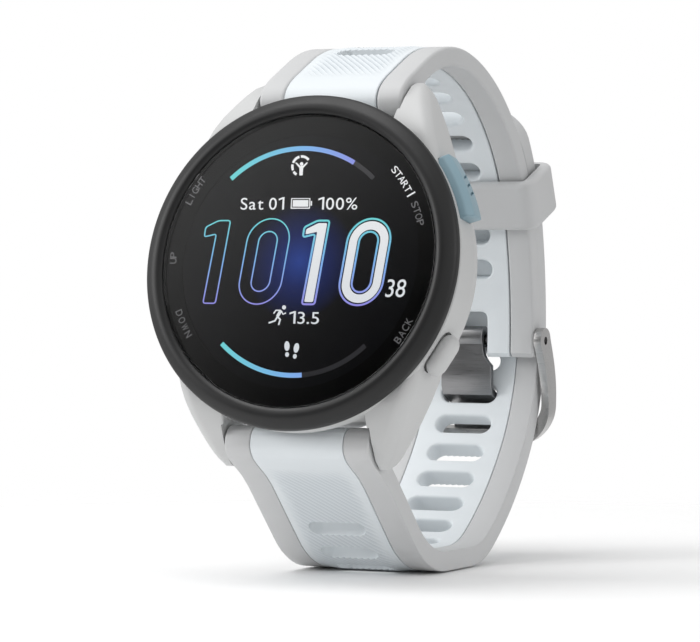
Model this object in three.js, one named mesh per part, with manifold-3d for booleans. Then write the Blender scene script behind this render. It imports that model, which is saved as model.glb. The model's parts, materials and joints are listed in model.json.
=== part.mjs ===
// GPS running watch: round case with five buttons, standing on its buckled two-colour strap.
// Millimetres. The dial faces -Y and leans back, 3 o'clock is +X and +Z is up.
// Pieces of the watch head are drawn in the dial's own frame: x to 3 o'clock, y to 12 o'clock,
// z out of the dial, with z = 0 at the widest circle of the bezel.

import * as THREE from 'three';
import { mergeVertices } from 'three/addons/utils/BufferGeometryUtils.js';
import Module from 'manifold-3d';

const wasm = await Module();
wasm.setup();

// ---------------------------------------------------------------- driving dimensions
const RAD = Math.PI / 180;
const GAP = 0.3;                       // clearance kept between neighbouring pieces
const ROUND = 36;                      // sides of the large round pieces
const SMALL_ROUND = 12;                // sides of pins, screws and stems
const LEAN = 13 * RAD;                 // how far the dial leans back from upright

const CASE_R = 21.3;
const CASE_TOP = -1.2;
const CASE_BOTTOM = -9.2;
const CAVITY_R = 18.6;
const COVER_ROOM_R = 19.1;             // recess that the back cover sits in
const COVER_BACK = -9.3;               // outer face of the back cover
const COVER_INSIDE = -8.3;
const LENS_R = 18.75;
const LENS_UNDER = 0.25;
const LENS_TOP = 1.08;
const DISPLAY_R = 16.45;

const LUG_PIN_Y = 22;                  // spring bar axis, from the dial centre
const LUG_PIN_Z = -6;
const LUG_INSIDE_X = 10.3;
const LUG_BORE_R = 0.8;
const LUG_BORE_X = 12.2;

const STRAP_T = 2.6;                   // strap thickness
const STRAP_X = 10;                    // half the strap width
const TAIL_X = 9.5;                    // half the width of the free tail
const CORE_X = 6.3;                    // half the width of the white core
const RAIL_X = CORE_X + GAP;
const LAYER = STRAP_T + GAP;           // middle to middle of the two layers under the keeper
const SLOT_HALF = 4;
const SLOT_WIDE = 2.6;
const SLOT_PITCH = 4.85;

const BAR_R = 0.9;                     // spring bar tube
const BAR_BORE_R = 0.68;
const TIP_R = 0.38;
const TIP_END_X = 11.9;
const LEVER_X = 7.4;

const BUCKLE_PIN_S = 69.3;             // along the upper strap
const BUCKLE_PIN_R = 0.5;
const BUCKLE_IN_X = 10.4;
const BUCKLE_OUT_X = 11.8;
const FAR_BAR = [55.6, -24.6];         // y, z of the bar that the tang rests on
const FAR_BAR_R = 1.05;
const TANG_T = 1;
const TANG_NECK_X = 2.8;
const TANG_X = 3.7;

const KEEPER_S = 49.8;                 // along the upper strap
const KEEPER_HIGH = 6.8;
const KEEPER_GAP = 0.38;

// Each button: angle on the case, and how far its face stands out.
const BUTTON_Z = -3.6;
const BUTTON_HIGH = 3.2;
const BUTTON_LONG = 6.2;
const CAP_BACK_R = 20.9;
const STEM_R = 0.8;
const STEM_END_R = 17.3;
const START_HALF = 13.5 * RAD;
const START_FACE_R = 22.9;
const BUTTONS = [
  { name: 'start', angle: 28 * RAD, face: START_FACE_R, bar: true },
  { name: 'back', angle: -30 * RAD, face: 22.7 },
  { name: 'light', angle: 150 * RAD, face: 22.2 },
  { name: 'up', angle: 180 * RAD, face: 22.2 },
  { name: 'down', angle: 210 * RAD, face: 22.2 },
];

// ---------------------------------------------------------------- materials
const finish = (color, roughness, metalness = 0) =>
  new THREE.MeshStandardMaterial({ color, roughness, metalness });
const greyPolymer = finish(0xc4c5c5, 0.5);
const greySilicone = finish(0xc6c7c7, 0.6);
const whiteSilicone = finish(0xe6ebec, 0.6);
const blueCap = finish(0x8ba3ad, 0.4);
const blackPolymer = finish(0x262626, 0.45);
const glass = finish(0x101012, 0.05);
const panelBlack = finish(0x050507, 0.3);
const darkSteel = finish(0x6a6a6c, 0.3, 1);
const steel = finish(0xb0b2b4, 0.35, 1);
const rubber = finish(0x202020, 0.8);
const boardGreen = finish(0x1c4a34, 0.5);
const gold = finish(0xd0a850, 0.3, 1);
const foil = finish(0x9a9ca0, 0.4, 0.6);
const smoked = finish(0x15161a, 0.1);

// ---------------------------------------------------------------- solids
// A closed geometry as a manifold solid, turned so that its faces point out.
function solidOf(geometry) {
  const bare = new THREE.BufferGeometry();
  bare.setAttribute('position', geometry.attributes.position);
  bare.setIndex(geometry.index);
  const merged = mergeVertices(bare, 1e-4);
  const vertices = Float32Array.from(merged.attributes.position.array);
  const corners = [];
  let volume = 0;
  const [a, b, c] = [new THREE.Vector3(), new THREE.Vector3(), new THREE.Vector3()];
  for (let i = 0; i < merged.index.count; i += 3) {
    const [p, q, r] = [0, 1, 2].map((k) => merged.index.getX(i + k));
    if (p === q || q === r || r === p) continue;
    corners.push(p, q, r);
    a.fromArray(vertices, 3 * p);
    b.fromArray(vertices, 3 * q);
    c.fromArray(vertices, 3 * r);
    volume += a.dot(b.cross(c));
  }
  if (volume < 0) corners.reverse();
  const triVerts = Uint32Array.from(corners);
  return new wasm.Manifold(new wasm.Mesh({ numProp: 3, vertProperties: vertices, triVerts }));
}

function geometryOf(solid) {
  const mesh = solid.getMesh();
  const geometry = new THREE.BufferGeometry();
  geometry.setAttribute('position', new THREE.BufferAttribute(mesh.vertProperties, 3));
  geometry.setIndex(new THREE.BufferAttribute(mesh.triVerts, 1));
  return geometry;
}

const asSolid = (shape) => (shape.isBufferGeometry ? solidOf(shape) : shape);

function join(first, ...others) {
  return others.reduce((whole, next) => whole.add(asSolid(next)), asSolid(first));
}

function cut(first, ...others) {
  return others.reduce((whole, next) => whole.subtract(asSolid(next)), asSolid(first));
}

function piece(parent, name, shape, material) {
  const mesh = new THREE.Mesh(geometryOf(asSolid(shape)), material);
  mesh.name = name;
  parent.add(mesh);
  return mesh;
}

// ---------------------------------------------------------------- shapes
// A profile of [radius, z] turned about z. A ring's profile is closed on itself.
function turned(profile, sides = ROUND) {
  const points = profile.map(([radius, z]) => new THREE.Vector2(radius, z));
  const ring = profile[0][0] > 0;
  if (ring) points.push(points[0].clone());
  return new THREE.LatheGeometry(points, sides).rotateX(Math.PI / 2);
}

const disc = (radius, low, high, sides = ROUND) =>
  turned([[0, low], [radius, low], [radius, high], [0, high]], sides);

const flatRing = (inside, outside, low, high, sides = ROUND) =>
  turned([[inside, low], [outside, low], [outside, high], [inside, high]], sides);

function outlineOf(points) {
  return new THREE.Shape(points.map(([x, y]) => new THREE.Vector2(x, y)));
}

// An outline in x and y pulled along z.
function pulledZ(shape, low, high) {
  return new THREE.ExtrudeGeometry(shape, { depth: high - low, bevelEnabled: false, curveSegments: 3 })
    .translate(0, 0, low);
}

// An outline of [y, z] pulled along x, with an optional bevel on both end faces.
function pulledX(shape, low, high, bevel = 0) {
  const options = { depth: high - low - 2 * bevel, bevelEnabled: bevel > 0, curveSegments: 6 };
  if (bevel > 0) {
    options.bevelThickness = bevel;
    options.bevelSize = bevel;
    options.bevelOffset = -bevel;
    options.bevelSegments = 1;
  }
  const turn = new THREE.Matrix4().makeBasis(
    new THREE.Vector3(0, 1, 0), new THREE.Vector3(0, 0, 1), new THREE.Vector3(1, 0, 0));
  return new THREE.ExtrudeGeometry(shape, options).translate(0, 0, bevel)
    .applyMatrix4(turn).translate(low, 0, 0);
}

// A round bar along x through the point y, z.
function barX(radius, low, high, y, z, sides = SMALL_ROUND) {
  return new THREE.CylinderGeometry(radius, radius, high - low, sides)
    .rotateZ(Math.PI / 2).translate((low + high) / 2, y, z);
}

function block(x0, x1, y0, y1, z0, z1) {
  return new THREE.BoxGeometry(x1 - x0, y1 - y0, z1 - z0)
    .translate((x0 + x1) / 2, (y0 + y1) / 2, (z0 + z1) / 2);
}

// A plate of even thickness whose middle follows points of [y, z], between two x.
function plate(points, thickness, low, high) {
  const bends = points.map((point, i) => {
    const before = points[Math.max(i - 1, 0)];
    const after = points[Math.min(i + 1, points.length - 1)];
    const sides = [[before, point], [point, after]].filter(([a, b]) => a !== b).map(([a, b]) =>
      new THREE.Vector2(a[1] - b[1], b[0] - a[0]).normalize());
    const sum = sides.reduce((total, side) => total.add(side), new THREE.Vector2());
    return sum.multiplyScalar(sides.length / sum.lengthSq());
  });
  const half = thickness / 2;
  const left = points.map(([y, z], i) => [y + half * bends[i].x, z + half * bends[i].y]);
  const right = points.map(([y, z], i) => [y - half * bends[i].x, z - half * bends[i].y]);
  return pulledX(outlineOf(left.concat(right.reverse())), low, high);
}

// A slot outline with round ends, long in x.
function slotOutline(half, radius) {
  const shape = new THREE.Shape();
  shape.absarc(half - radius, 0, radius, -Math.PI / 2, Math.PI / 2, false);
  shape.absarc(radius - half, 0, radius, Math.PI / 2, 1.5 * Math.PI, false);
  return shape;
}

// ---------------------------------------------------------------- strap paths
// From the dial's frame to the standing watch's y and z.
function leaned(y, z) {
  return [y * Math.sin(LEAN) - z * Math.cos(LEAN), y * Math.cos(LEAN) + z * Math.sin(LEAN)];
}

// The middle of the strap's thickness in the plane x = 0: a start, a heading in degrees from +y
// towards +z, and stretches of [length, bend in degrees], straight where the bend is 0.
class StrapPath {
  constructor([y, z], heading, stretches) {
    this.stretches = stretches;
    this.starts = [{ s: 0, y, z, heading: heading * RAD }];
    for (const [length, bend] of stretches) {
      const last = this.starts.at(-1);
      this.starts.push({ s: last.s + length, ...StrapPath.step(last, length, bend * RAD) });
    }
    this.length = this.starts.at(-1).s;
  }

  static step({ y, z, heading }, length, bend) {
    const chord = bend === 0 ? length : (2 * length / bend) * Math.sin(bend / 2);
    const middle = heading + bend / 2;
    return { y: y + chord * Math.cos(middle), z: z + chord * Math.sin(middle), heading: heading + bend };
  }

  // The point and heading at distance s, running straight on past either end.
  at(s) {
    const count = this.stretches.length;
    if (s < 0 || s >= this.length) {
      const end = s < 0 ? this.starts[0] : this.starts[count];
      return StrapPath.step(end, s - end.s, 0);
    }
    const i = this.stretches.findIndex((unused, k) => s < this.starts[k + 1].s);
    const [length, bend] = this.stretches[i];
    const along = s - this.starts[i].s;
    return StrapPath.step(this.starts[i], along, (bend * RAD * along) / length);
  }

  // The point at distance s and t to the left of the path.
  off(s, t) {
    const { y, z, heading } = this.at(s);
    return [y - t * Math.sin(heading), z + t * Math.cos(heading)];
  }

  // Distances that follow the path's bends closely, between two distances.
  stations(from, to) {
    const found = [];
    this.stretches.forEach(([length, bend], i) => {
      const steps = Math.max(1, Math.ceil(Math.abs(bend) / 7));
      for (let k = 0; k < steps; k += 1) found.push(this.starts[i].s + (length * k) / steps);
    });
    return found.filter((s) => s > from + 0.5 && s < to - 0.5);
  }

  // A geometry drawn in x, along the path and across it, moved to distance s.
  place(geometry, s) {
    const { y, z, heading } = this.at(s);
    const matrix = new THREE.Matrix4().makeBasis(
      new THREE.Vector3(1, 0, 0),
      new THREE.Vector3(0, Math.cos(heading), Math.sin(heading)),
      new THREE.Vector3(0, -Math.sin(heading), Math.cos(heading)));
    return geometry.clone().applyMatrix4(matrix.setPosition(0, y, z));
  }
}

const CREST = [22.1, -61];             // over the top, from the 12 o'clock lugs
const SHOULDER = [32.8, -63.5];        // down the back, where the keeper runs
const BUCKLE_END = [16.1, -14.6];
const upperPath = new StrapPath(leaned(LUG_PIN_Y, LUG_PIN_Z), 46, [CREST, SHOULDER, BUCKLE_END]);

// The tail runs LAYER outside the last two stretches of the upper strap, the other way round.
const TAIL_BESIDE = 12.1;              // how much of the buckle end the tail runs beside
const TAIL_BEND = 35.5;
const buckleEndR = BUCKLE_END[0] / (-BUCKLE_END[1] * RAD);
const shoulderR = SHOULDER[0] / (-SHOULDER[1] * RAD);
const lowerPath = new StrapPath(leaned(-LUG_PIN_Y, LUG_PIN_Z), -44, [
  [17.78, 0],
  [10.75, 44],
  [8.12, 0],
  [6.3, 30],
  [17.4, 21.4],
  [18.6, 39.13],
  [(TAIL_BESIDE * (buckleEndR + LAYER)) / buckleEndR, TAIL_BESIDE / buckleEndR / RAD],
  [TAIL_BEND * RAD * (shoulderR + LAYER), TAIL_BEND],
]);
const TANG_SLOT_S = 68.5;              // the slot of the lower strap that holds the tang

// ---------------------------------------------------------------- watch head
function bezel() {
  return turned([[19.05, 0.95], [19.7, 1.5], [20.3, 1.5], [21.3, 0.4], [21.5, 0], [21.5, -0.5],
    [21.1, -0.9], [19.05, -0.9]]);
}

function lens() {
  return turned([[0, LENS_UNDER], [LENS_R - 0.3, LENS_UNDER], [LENS_R, 0.5], [LENS_R, 0.85],
    [LENS_R - 0.25, LENS_TOP], [0, LENS_TOP]]);
}

// One lug at +x, +y: a plan outline crossed with a side outline.
function lug() {
  const plan = outlineOf([[LUG_INSIDE_X, 14], [LUG_INSIDE_X, 24], [10.8, 24.6], [11.5, 24.7],
    [12.5, 23.2], [13.6, 21.2], [14.9, 18.6], [16.2, 15.6], [17.3, 12.4], [15, 11.5]]);
  const side = outlineOf([[10, CASE_TOP], [16.8, CASE_TOP], [19.4, -2.2], [22.2, -4.1], [24.2, -5.9],
    [24.9, -7.2], [24.7, -8.4], [23.4, -9.2], [20, -9.3], [10, CASE_BOTTOM]]);
  return solidOf(pulledZ(plan, -11, 0)).intersect(solidOf(pulledX(side, 9, 19)));
}

function mirrored(solid, x, y) {
  const matrix = new THREE.Matrix4().makeScale(x, y, 1);
  return solidOf(geometryOf(solid).applyMatrix4(matrix));
}

// The outline of a button cap, a little larger by grow, as seen from the side of the case.
function capSolid(button, grow, inside, outside) {
  const half = BUTTON_HIGH / 2 + grow;
  if (!button.bar) {
    return pulledX(slotOutline(BUTTON_LONG / 2 + grow, half), inside, outside)
      .translate(0, 0, BUTTON_Z);
  }
  const angle = START_HALF + grow / START_FACE_R;
  const shape = new THREE.Shape();
  shape.absarc(0, 0, outside, -angle, angle, false);
  shape.absarc(0, 0, inside, angle, -angle, true);
  return pulledZ(shape, BUTTON_Z - half, BUTTON_Z + half);
}

const stem = (radius, inside, outside) => barX(radius, inside, outside, 0, BUTTON_Z);

const BOSS_ANGLES = [45, 135, 225, 315].map((degrees) => degrees * RAD);
const BOSS_RING = 16.7;
const SCREW_RING = 16.4;

function caseHousing() {
  const body = turned([[16.8, -0.6], [LENS_R, -0.6], [LENS_R, CASE_TOP], [CASE_R, CASE_TOP],
    [CASE_R, -5.4], [20.5, -8.5], [19.9, CASE_BOTTOM], [COVER_ROOM_R, CASE_BOTTOM], [COVER_ROOM_R, -8],
    [CAVITY_R, -8], [CAVITY_R, -1.5], [16.8, -1.5]]);
  const oneLug = lug();
  const lugs = [[1, 1], [-1, 1], [1, -1], [-1, -1]].map(([x, y]) => mirrored(oneLug, x, y));
  const outside = cut(join(body, ...lugs), disc(CAVITY_R, -12, -1.5), disc(COVER_ROOM_R, -12, -8));
  const bosses = BOSS_ANGLES.map((angle) => disc(2.1, -6.9, -4.6, SMALL_ROUND)
    .translate(BOSS_RING * Math.cos(angle), BOSS_RING * Math.sin(angle), 0));
  const bossHoles = BOSS_ANGLES.map((angle) => disc(0.8, -7.2, -5.3, SMALL_ROUND)
    .translate(SCREW_RING * Math.cos(angle), SCREW_RING * Math.sin(angle), 0));
  const strapRoom = [1, -1].map((side) => block(-LUG_INSIDE_X, LUG_INSIDE_X,
    Math.min(side * 19.4, side * 30), Math.max(side * 19.4, side * 30), -12, -2.9));
  const bores = [1, -1].flatMap((side) => [1, -1].map((end) => barX(LUG_BORE_R,
    Math.min(end * 9, end * LUG_BORE_X), Math.max(end * 9, end * LUG_BORE_X),
    side * LUG_PIN_Y, LUG_PIN_Z)));
  const buttonRoom = BUTTONS.flatMap((button) => [
    capSolid(button, GAP, 20.2, 25),
    stem(STEM_R + GAP, 17, 21),
    stem(1.95, 18, 19.5),
  ].map((geometry) => geometry.rotateZ(button.angle)));
  return cut(join(outside, ...bosses), ...bossHoles, ...strapRoom, ...bores, ...buttonRoom);
}

function midFrame() {
  return cut(disc(18.3, -2.6, -2.1), block(-4.5, 4.5, -16.3, -14.9, -3, -1.8));
}

// The ribbon from the display's underside, folded down to the main board's underside.
function displayFlex() {
  return plate([[-12, -1.75], [-15.6, -1.75], [-15.6, -4.3], [-12.5, -4.3]], 0.2, -4, 4);
}

function antenna() {
  const shape = new THREE.Shape();
  shape.absarc(0, 0, 18, 60 * RAD, 120 * RAD, false);
  shape.absarc(0, 0, 16.4, 120 * RAD, 60 * RAD, true);
  return pulledZ(shape, -4.8, -2.9);
}

const PORT_Y = -13.4;
const PIN_XS = [-2.4, -0.8, 0.8, 2.4];

function backCover() {
  const plate = turned([[6.9, COVER_INSIDE], [18.8, COVER_INSIDE], [18.8, -8.9],
    [18.4, COVER_BACK], [6.9, COVER_BACK]]);
  const portRoom = block(-3.8, 3.8, PORT_Y - 1.8, PORT_Y + 1.8, -10, -8);
  const holes = BOSS_ANGLES.flatMap((angle) => [
    disc(0.8, -10, -8, SMALL_ROUND),
    disc(1.3, -10, -8.7, SMALL_ROUND),
  ].map((hole) => hole.translate(SCREW_RING * Math.cos(angle), SCREW_RING * Math.sin(angle), 0)));
  return cut(plate, portRoom, ...holes);
}

function coverScrew() {
  return turned([[0, -9.2], [1, -9.2], [1, -8.8], [0.5, -8.8], [0.5, -5.7], [0, -5.7]], 12);
}

function sensorWindow() {
  return turned([[0, -8.45], [6.6, -8.45], [6.6, -9.4], [5.6, -9.85], [3.2, -10.05], [0, -10.1]], 48);
}

function chargePort() {
  const holes = PIN_XS.map((x) => disc(0.62, -10, -8, 10).translate(x, PORT_Y, 0));
  return cut(block(-3.5, 3.5, PORT_Y - 1.5, PORT_Y + 1.5, -9.15, -8.45), ...holes);
}

function addHead(head) {
  piece(head, 'bezel_ring', bezel(), blackPolymer);
  piece(head, 'lens', lens(), glass);
  piece(head, 'lens_gasket', flatRing(17.1, 18.5, -0.3, -0.05), rubber);
  piece(head, 'display_panel', disc(DISPLAY_R, -1.35, -0.05), panelBlack);
  piece(head, 'display_flex', displayFlex(), gold);
  piece(head, 'case_housing', caseHousing(), greyPolymer);
  piece(head, 'mid_frame', midFrame(), blackPolymer);
  piece(head, 'gps_antenna', antenna(), gold);
  piece(head, 'main_board', disc(14.3, -3.9, -3.1, 32), boardGreen);
  piece(head, 'shield_can', block(-6, 6, -5, 6, -5, -4.2), foil);
  piece(head, 'battery', block(-9.5, 9.5, -4, 10, -7.3, -5.3), foil);
  piece(head, 'vibration_motor', disc(3.4, -7.3, -4.7, 20).translate(-5.4, -11.2, 0), steel);
  piece(head, 'piezo_buzzer', disc(3.6, -7.9, -7.4, 20).translate(5.8, -10.6, 0), gold);
  piece(head, 'back_gasket', flatRing(17.5, 18.3, -8, -7.4), rubber);
  piece(head, 'back_cover', backCover(), greyPolymer);
  piece(head, 'sensor_board', disc(6.3, -8.1, -7.7, 24), boardGreen);
  piece(head, 'sensor_window', sensorWindow(), smoked);
  piece(head, 'charge_port', chargePort(), blackPolymer);
  PIN_XS.forEach((x, i) => piece(head, `charge_pin_${i + 1}`,
    disc(0.32, -9.1, -8.1, 8).translate(x, PORT_Y, 0), gold));
  BOSS_ANGLES.forEach((angle, i) => piece(head, `cover_screw_${i + 1}`,
    coverScrew().translate(SCREW_RING * Math.cos(angle), SCREW_RING * Math.sin(angle), 0), darkSteel));
}

// ---------------------------------------------------------------- buttons
function addButton(head, button) {
  const place = new THREE.Group();
  place.rotation.z = button.angle;
  head.add(place);
  const cap = join(capSolid(button, 0, CAP_BACK_R, button.face), stem(STEM_R, STEM_END_R, CAP_BACK_R + 0.4));
  piece(place, `${button.name}_button`, cap, button.bar ? blueCap : greyPolymer);
  const seal = flatRing(STEM_R + GAP, 1.65, 18.8, 19.2, 16).rotateY(Math.PI / 2).translate(0, 0, BUTTON_Z);
  piece(place, `${button.name}_seal`, seal, rubber);
  const tact = join(block(14.6, 16.2, -1.8, 1.8, BUTTON_Z - 1, BUTTON_Z + 0.4),
    barX(0.6, 16, 16.6, 0, BUTTON_Z, 12));
  piece(place, `${button.name}_switch`, tact, steel);
}

// ---------------------------------------------------------------- strap
// Half thicknesses [s, t] of the thick end round a spring bar, on the outer and wrist sides.
const END_OUTER = [[-2, 0.9], [-1.1, 2.1], [0.4, 2.4], [2.5, 2.05], [4.8, 1.55], [7.2, STRAP_T / 2]];
const END_WRIST = [[-2, -0.9], [-1.3, -1.7], [0, -2.05], [2, -1.85], [4.8, -STRAP_T / 2]];

// The side outline of a strap half. side is 1 where the outer side is left of the path, else -1.
function strapOutline(path, side, end, tip) {
  const outer = END_OUTER.concat(path.stations(7.2, end).map((s) => [s, STRAP_T / 2]), tip);
  const wrist = END_WRIST.concat(path.stations(4.8, end).map((s) => [s, -STRAP_T / 2]));
  const points = outer.concat(wrist.reverse());
  return outlineOf(points.map(([s, t]) => path.off(s, side * t)));
}

const slotAt = (path, s) => path.place(pulledZ(slotOutline(SLOT_HALF, SLOT_WIDE / 2), -3, 3), s);

function slots(path, from, to) {
  const found = [];
  for (let s = from; s < to; s += SLOT_PITCH) found.push(slotAt(path, s));
  return found;
}

// Room for a spring bar, and for its release lever on the wrist side.
function barRoom(path, side) {
  const { y, z } = path.at(0);
  const lever = block(5.1, 8.5, -1, 1, Math.min(0, side * -4), Math.max(0, side * -4));
  return [barX(BAR_R + GAP, -12, 12, y, z), path.place(lever, 0)];
}

const upperEnd = BUCKLE_PIN_S + 1.7;
const UPPER_TIP = [[upperEnd - 0.5, 1.3], [upperEnd, 0.8], [upperEnd, -0.8], [upperEnd - 0.5, -1.3]];
const tailEnd = lowerPath.length;
const LOWER_TIP = [[tailEnd - 0.4, 1.3], [tailEnd, 0.9], [tailEnd, -0.9], [tailEnd - 0.4, -1.3]];

function addUpperStrap(strap) {
  const outline = strapOutline(upperPath, 1, upperEnd, UPPER_TIP);
  const pin = upperPath.at(BUCKLE_PIN_S);
  const pinRoom = barX(BUCKLE_PIN_R + GAP, -12, 12, pin.y, pin.z);
  const notch = upperPath.place(block(-TANG_NECK_X - 0.4, TANG_NECK_X + 0.4, 0, 8, -3, 3), BUCKLE_PIN_S - 4.2);
  const room = barRoom(upperPath, 1);
  const firstSlot = 59.4 - 10 * SLOT_PITCH;
  piece(strap, 'upper_strap_core', cut(pulledX(outline, -CORE_X, CORE_X), ...room, pinRoom, notch,
    ...slots(upperPath, firstSlot, 60)), whiteSilicone);
  piece(strap, 'upper_strap_rail_right', cut(pulledX(outline, RAIL_X, STRAP_X, 0.45), ...room, pinRoom),
    greySilicone);
  piece(strap, 'upper_strap_rail_left', cut(pulledX(outline, -STRAP_X, -RAIL_X, 0.45), ...room, pinRoom),
    greySilicone);
}

// What lies beyond the strap's rounded tip, drawn in x and along the path.
function beyondTip() {
  const shape = new THREE.Shape();
  shape.moveTo(12, -1);
  shape.lineTo(12, 12);
  shape.lineTo(-12, 12);
  shape.lineTo(-12, -1);
  shape.lineTo(-9.6, 0);
  shape.quadraticCurveTo(-8, 7, 0, 7);
  shape.quadraticCurveTo(8, 7, 9.6, 0);
  return pulledZ(shape, -4, 4);
}

function addLowerStrap(strap) {
  const coreEnd = tailEnd - 6.3;
  const coreTip = [[coreEnd, 1.3], [coreEnd, -1.3]];
  const room = barRoom(lowerPath, -1);
  piece(strap, 'lower_strap_core', cut(
    pulledX(strapOutline(lowerPath, -1, coreEnd, coreTip), -CORE_X, CORE_X), ...room,
    ...slots(lowerPath, TANG_SLOT_S - 11 * SLOT_PITCH, coreEnd - 2)), whiteSilicone);
  const whole = pulledX(strapOutline(lowerPath, -1, tailEnd, LOWER_TIP), -STRAP_X, STRAP_X, 0.45);
  const along = [-4, 0, ...lowerPath.stations(0, coreEnd), coreEnd + GAP];
  const channel = outlineOf([...along.map((s) => lowerPath.off(s, 3)),
    ...along.toReversed().map((s) => lowerPath.off(s, -3))]);
  const taper = (side) => {
    const shape = outlineOf([[-30, STRAP_X], [-10, TAIL_X], [40, TAIL_X], [40, 14], [-30, 14]]
      .map(([z, x]) => [side * x, z]));
    return pulledZ(shape, -70, -40).rotateX(Math.PI / 2);
  };
  piece(strap, 'lower_strap_rails', cut(whole, pulledX(channel, -RAIL_X, RAIL_X), ...room,
    taper(1), taper(-1), lowerPath.place(beyondTip(), tailEnd - 7)), greySilicone);
}

// ---------------------------------------------------------------- spring bars
function addSpringBar(strap, name, path, side) {
  const { y, z } = path.at(0);
  const leverSlot = path.place(block(5.2, 8.2, -0.75, 0.75, Math.min(0, side * -2), Math.max(0, side * -2)), 0);
  const tube = cut(join(barX(BAR_R, -9.4, 9.4, y, z), barX(0.45, -TIP_END_X, -9, y, z, 12)),
    barX(BAR_BORE_R, 1, 10, y, z), leverSlot);
  piece(strap, `${name}_bar_tube`, tube, steel);
  const lever = path.place(block(LEVER_X - 0.45, LEVER_X + 0.45, -0.4, 0.4,
    Math.min(0, side * -2.4), Math.max(0, side * -2.4)), 0);
  piece(strap, `${name}_bar_tip`, join(barX(TIP_R, 4.6, TIP_END_X, y, z, 12), lever), steel);
  piece(strap, `${name}_bar_spring`, barX(0.36, 1.3, 2.6, y, z, 10), steel);
}

// ---------------------------------------------------------------- keeper and buckle
function addKeeper(strap) {
  const low = -STRAP_T / 2 - KEEPER_GAP;
  const high = LAYER + STRAP_T / 2 + KEEPER_GAP;
  const insideX = STRAP_X + KEEPER_GAP;
  const outline = (grow, lowT, highT, corner) => {
    const [x, a, b] = [insideX + grow, lowT, highT];
    return [[-x + corner, a], [x - corner, a], [x, a + corner], [x, b - corner], [x - corner, b],
      [-x + corner, b], [-x, b - corner], [-x, a + corner]];
  };
  const shape = outlineOf(outline(1.45, low - 1.3, high + 1.4, 1.6));
  shape.holes.push(new THREE.Path(outlineOf(outline(0, low, high, 0.25)).getPoints()));
  const loop = pulledZ(shape, -KEEPER_HIGH / 2, KEEPER_HIGH / 2).rotateX(Math.PI / 2).scale(1, -1, 1);
  piece(strap, 'keeper', upperPath.place(loop, KEEPER_S), greySilicone);
}

function addBuckle(strap) {
  const pin = upperPath.at(BUCKLE_PIN_S);
  const [barY, barZ] = FAR_BAR;
  const lean = Math.atan2(barZ - pin.z, barY - pin.y);
  const arm = new THREE.Shape();
  arm.absarc(pin.y, pin.z, 1.75, lean + Math.PI / 2, lean + 1.5 * Math.PI, false);
  arm.absarc(barY, barZ, 1.3, lean - Math.PI / 2, lean + Math.PI / 2, false);
  const arms = [[BUCKLE_IN_X, BUCKLE_OUT_X], [-BUCKLE_OUT_X, -BUCKLE_IN_X]]
    .map(([low, high]) => pulledX(arm, low, high, 0.2));
  const bar = barX(FAR_BAR_R, -11.5, 11.5, barY, barZ, 20);
  const pinHole = barX(BUCKLE_PIN_R + GAP, -13, 13, pin.y, pin.z);
  piece(strap, 'buckle_frame', cut(join(arms[0], arms[1], bar), pinHole), darkSteel);
  piece(strap, 'buckle_pin', barX(BUCKLE_PIN_R, -11.4, 11.4, pin.y, pin.z), steel);

  const curl = barX(1.3, -TANG_NECK_X, TANG_NECK_X, pin.y, pin.z, 24);
  const blade = tangBlade(pin);
  const neck = cut(blade, block(-20, -TANG_NECK_X, 40, 70, pin.z - 2.6, 0),
    block(TANG_NECK_X, 20, 40, 70, pin.z - 2.6, 0));
  piece(strap, 'buckle_tang', cut(join(curl, neck), barX(BUCKLE_PIN_R + GAP, -8, 8, pin.y, pin.z)),
    darkSteel);
}

// The tang's plate: down the wrist side, out through the strap's slot, and down over the far bar.
function tangBlade(pin) {
  const slot = lowerPath.at(TANG_SLOT_S);
  const insideY = pin.y - 1.3 + TANG_T / 2;
  const outsideY = FAR_BAR[0] + FAR_BAR_R + GAP + TANG_T / 2;
  return plate([[insideY, pin.z - 0.2], [insideY, slot.z + 1.6], [insideY + 0.35, slot.z + 0.75],
    [slot.y + 2.35, slot.z - 1.15], [outsideY - 0.1, slot.z - 2.6], [outsideY, FAR_BAR[1] - 0.7]],
  TANG_T, -TANG_X, TANG_X);
}

// ---------------------------------------------------------------- assembly
const head = new THREE.Group();
head.rotation.x = Math.PI / 2 - LEAN;
addHead(head);
BUTTONS.forEach((button) => addButton(head, button));

const strap = new THREE.Group();
addUpperStrap(strap);
addLowerStrap(strap);
addSpringBar(strap, 'upper', upperPath, 1);
addSpringBar(strap, 'lower', lowerPath, -1);
addKeeper(strap);
addBuckle(strap);

// The origin is at the middle of the watch's box, on the surface that it stands on.
const watch = new THREE.Group();
watch.add(head, strap);
watch.updateMatrixWorld(true);
const box = new THREE.Box3().setFromObject(watch, true);
watch.position.set(-(box.min.x + box.max.x) / 2, -(box.min.y + box.max.y) / 2, -box.min.z);

export default watch;
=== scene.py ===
"""Looks of a round running watch that stands on its buckled strap. Pieces are modelled in
millimetres, the head in the dial's own frame and the strap flat, and then put in place in metres."""

import json
import math
from contextlib import contextmanager

import bpy
from mathutils import Matrix, Vector


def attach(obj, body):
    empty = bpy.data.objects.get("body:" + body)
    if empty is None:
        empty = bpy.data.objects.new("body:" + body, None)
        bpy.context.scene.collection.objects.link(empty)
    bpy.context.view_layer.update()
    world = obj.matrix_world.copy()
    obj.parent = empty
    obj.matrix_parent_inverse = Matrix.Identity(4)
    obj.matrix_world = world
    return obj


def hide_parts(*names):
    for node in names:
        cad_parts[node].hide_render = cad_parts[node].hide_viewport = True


bl_info = {
    "name": "Running watch",
    "version": (1, 0, 0),
    "blender": (4, 5, 0),
    "location": "3D View > Sidebar > Watch",
    "description": "Models and finishes a running watch with a buckled two-colour strap",
    "category": "Object",
}

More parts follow.
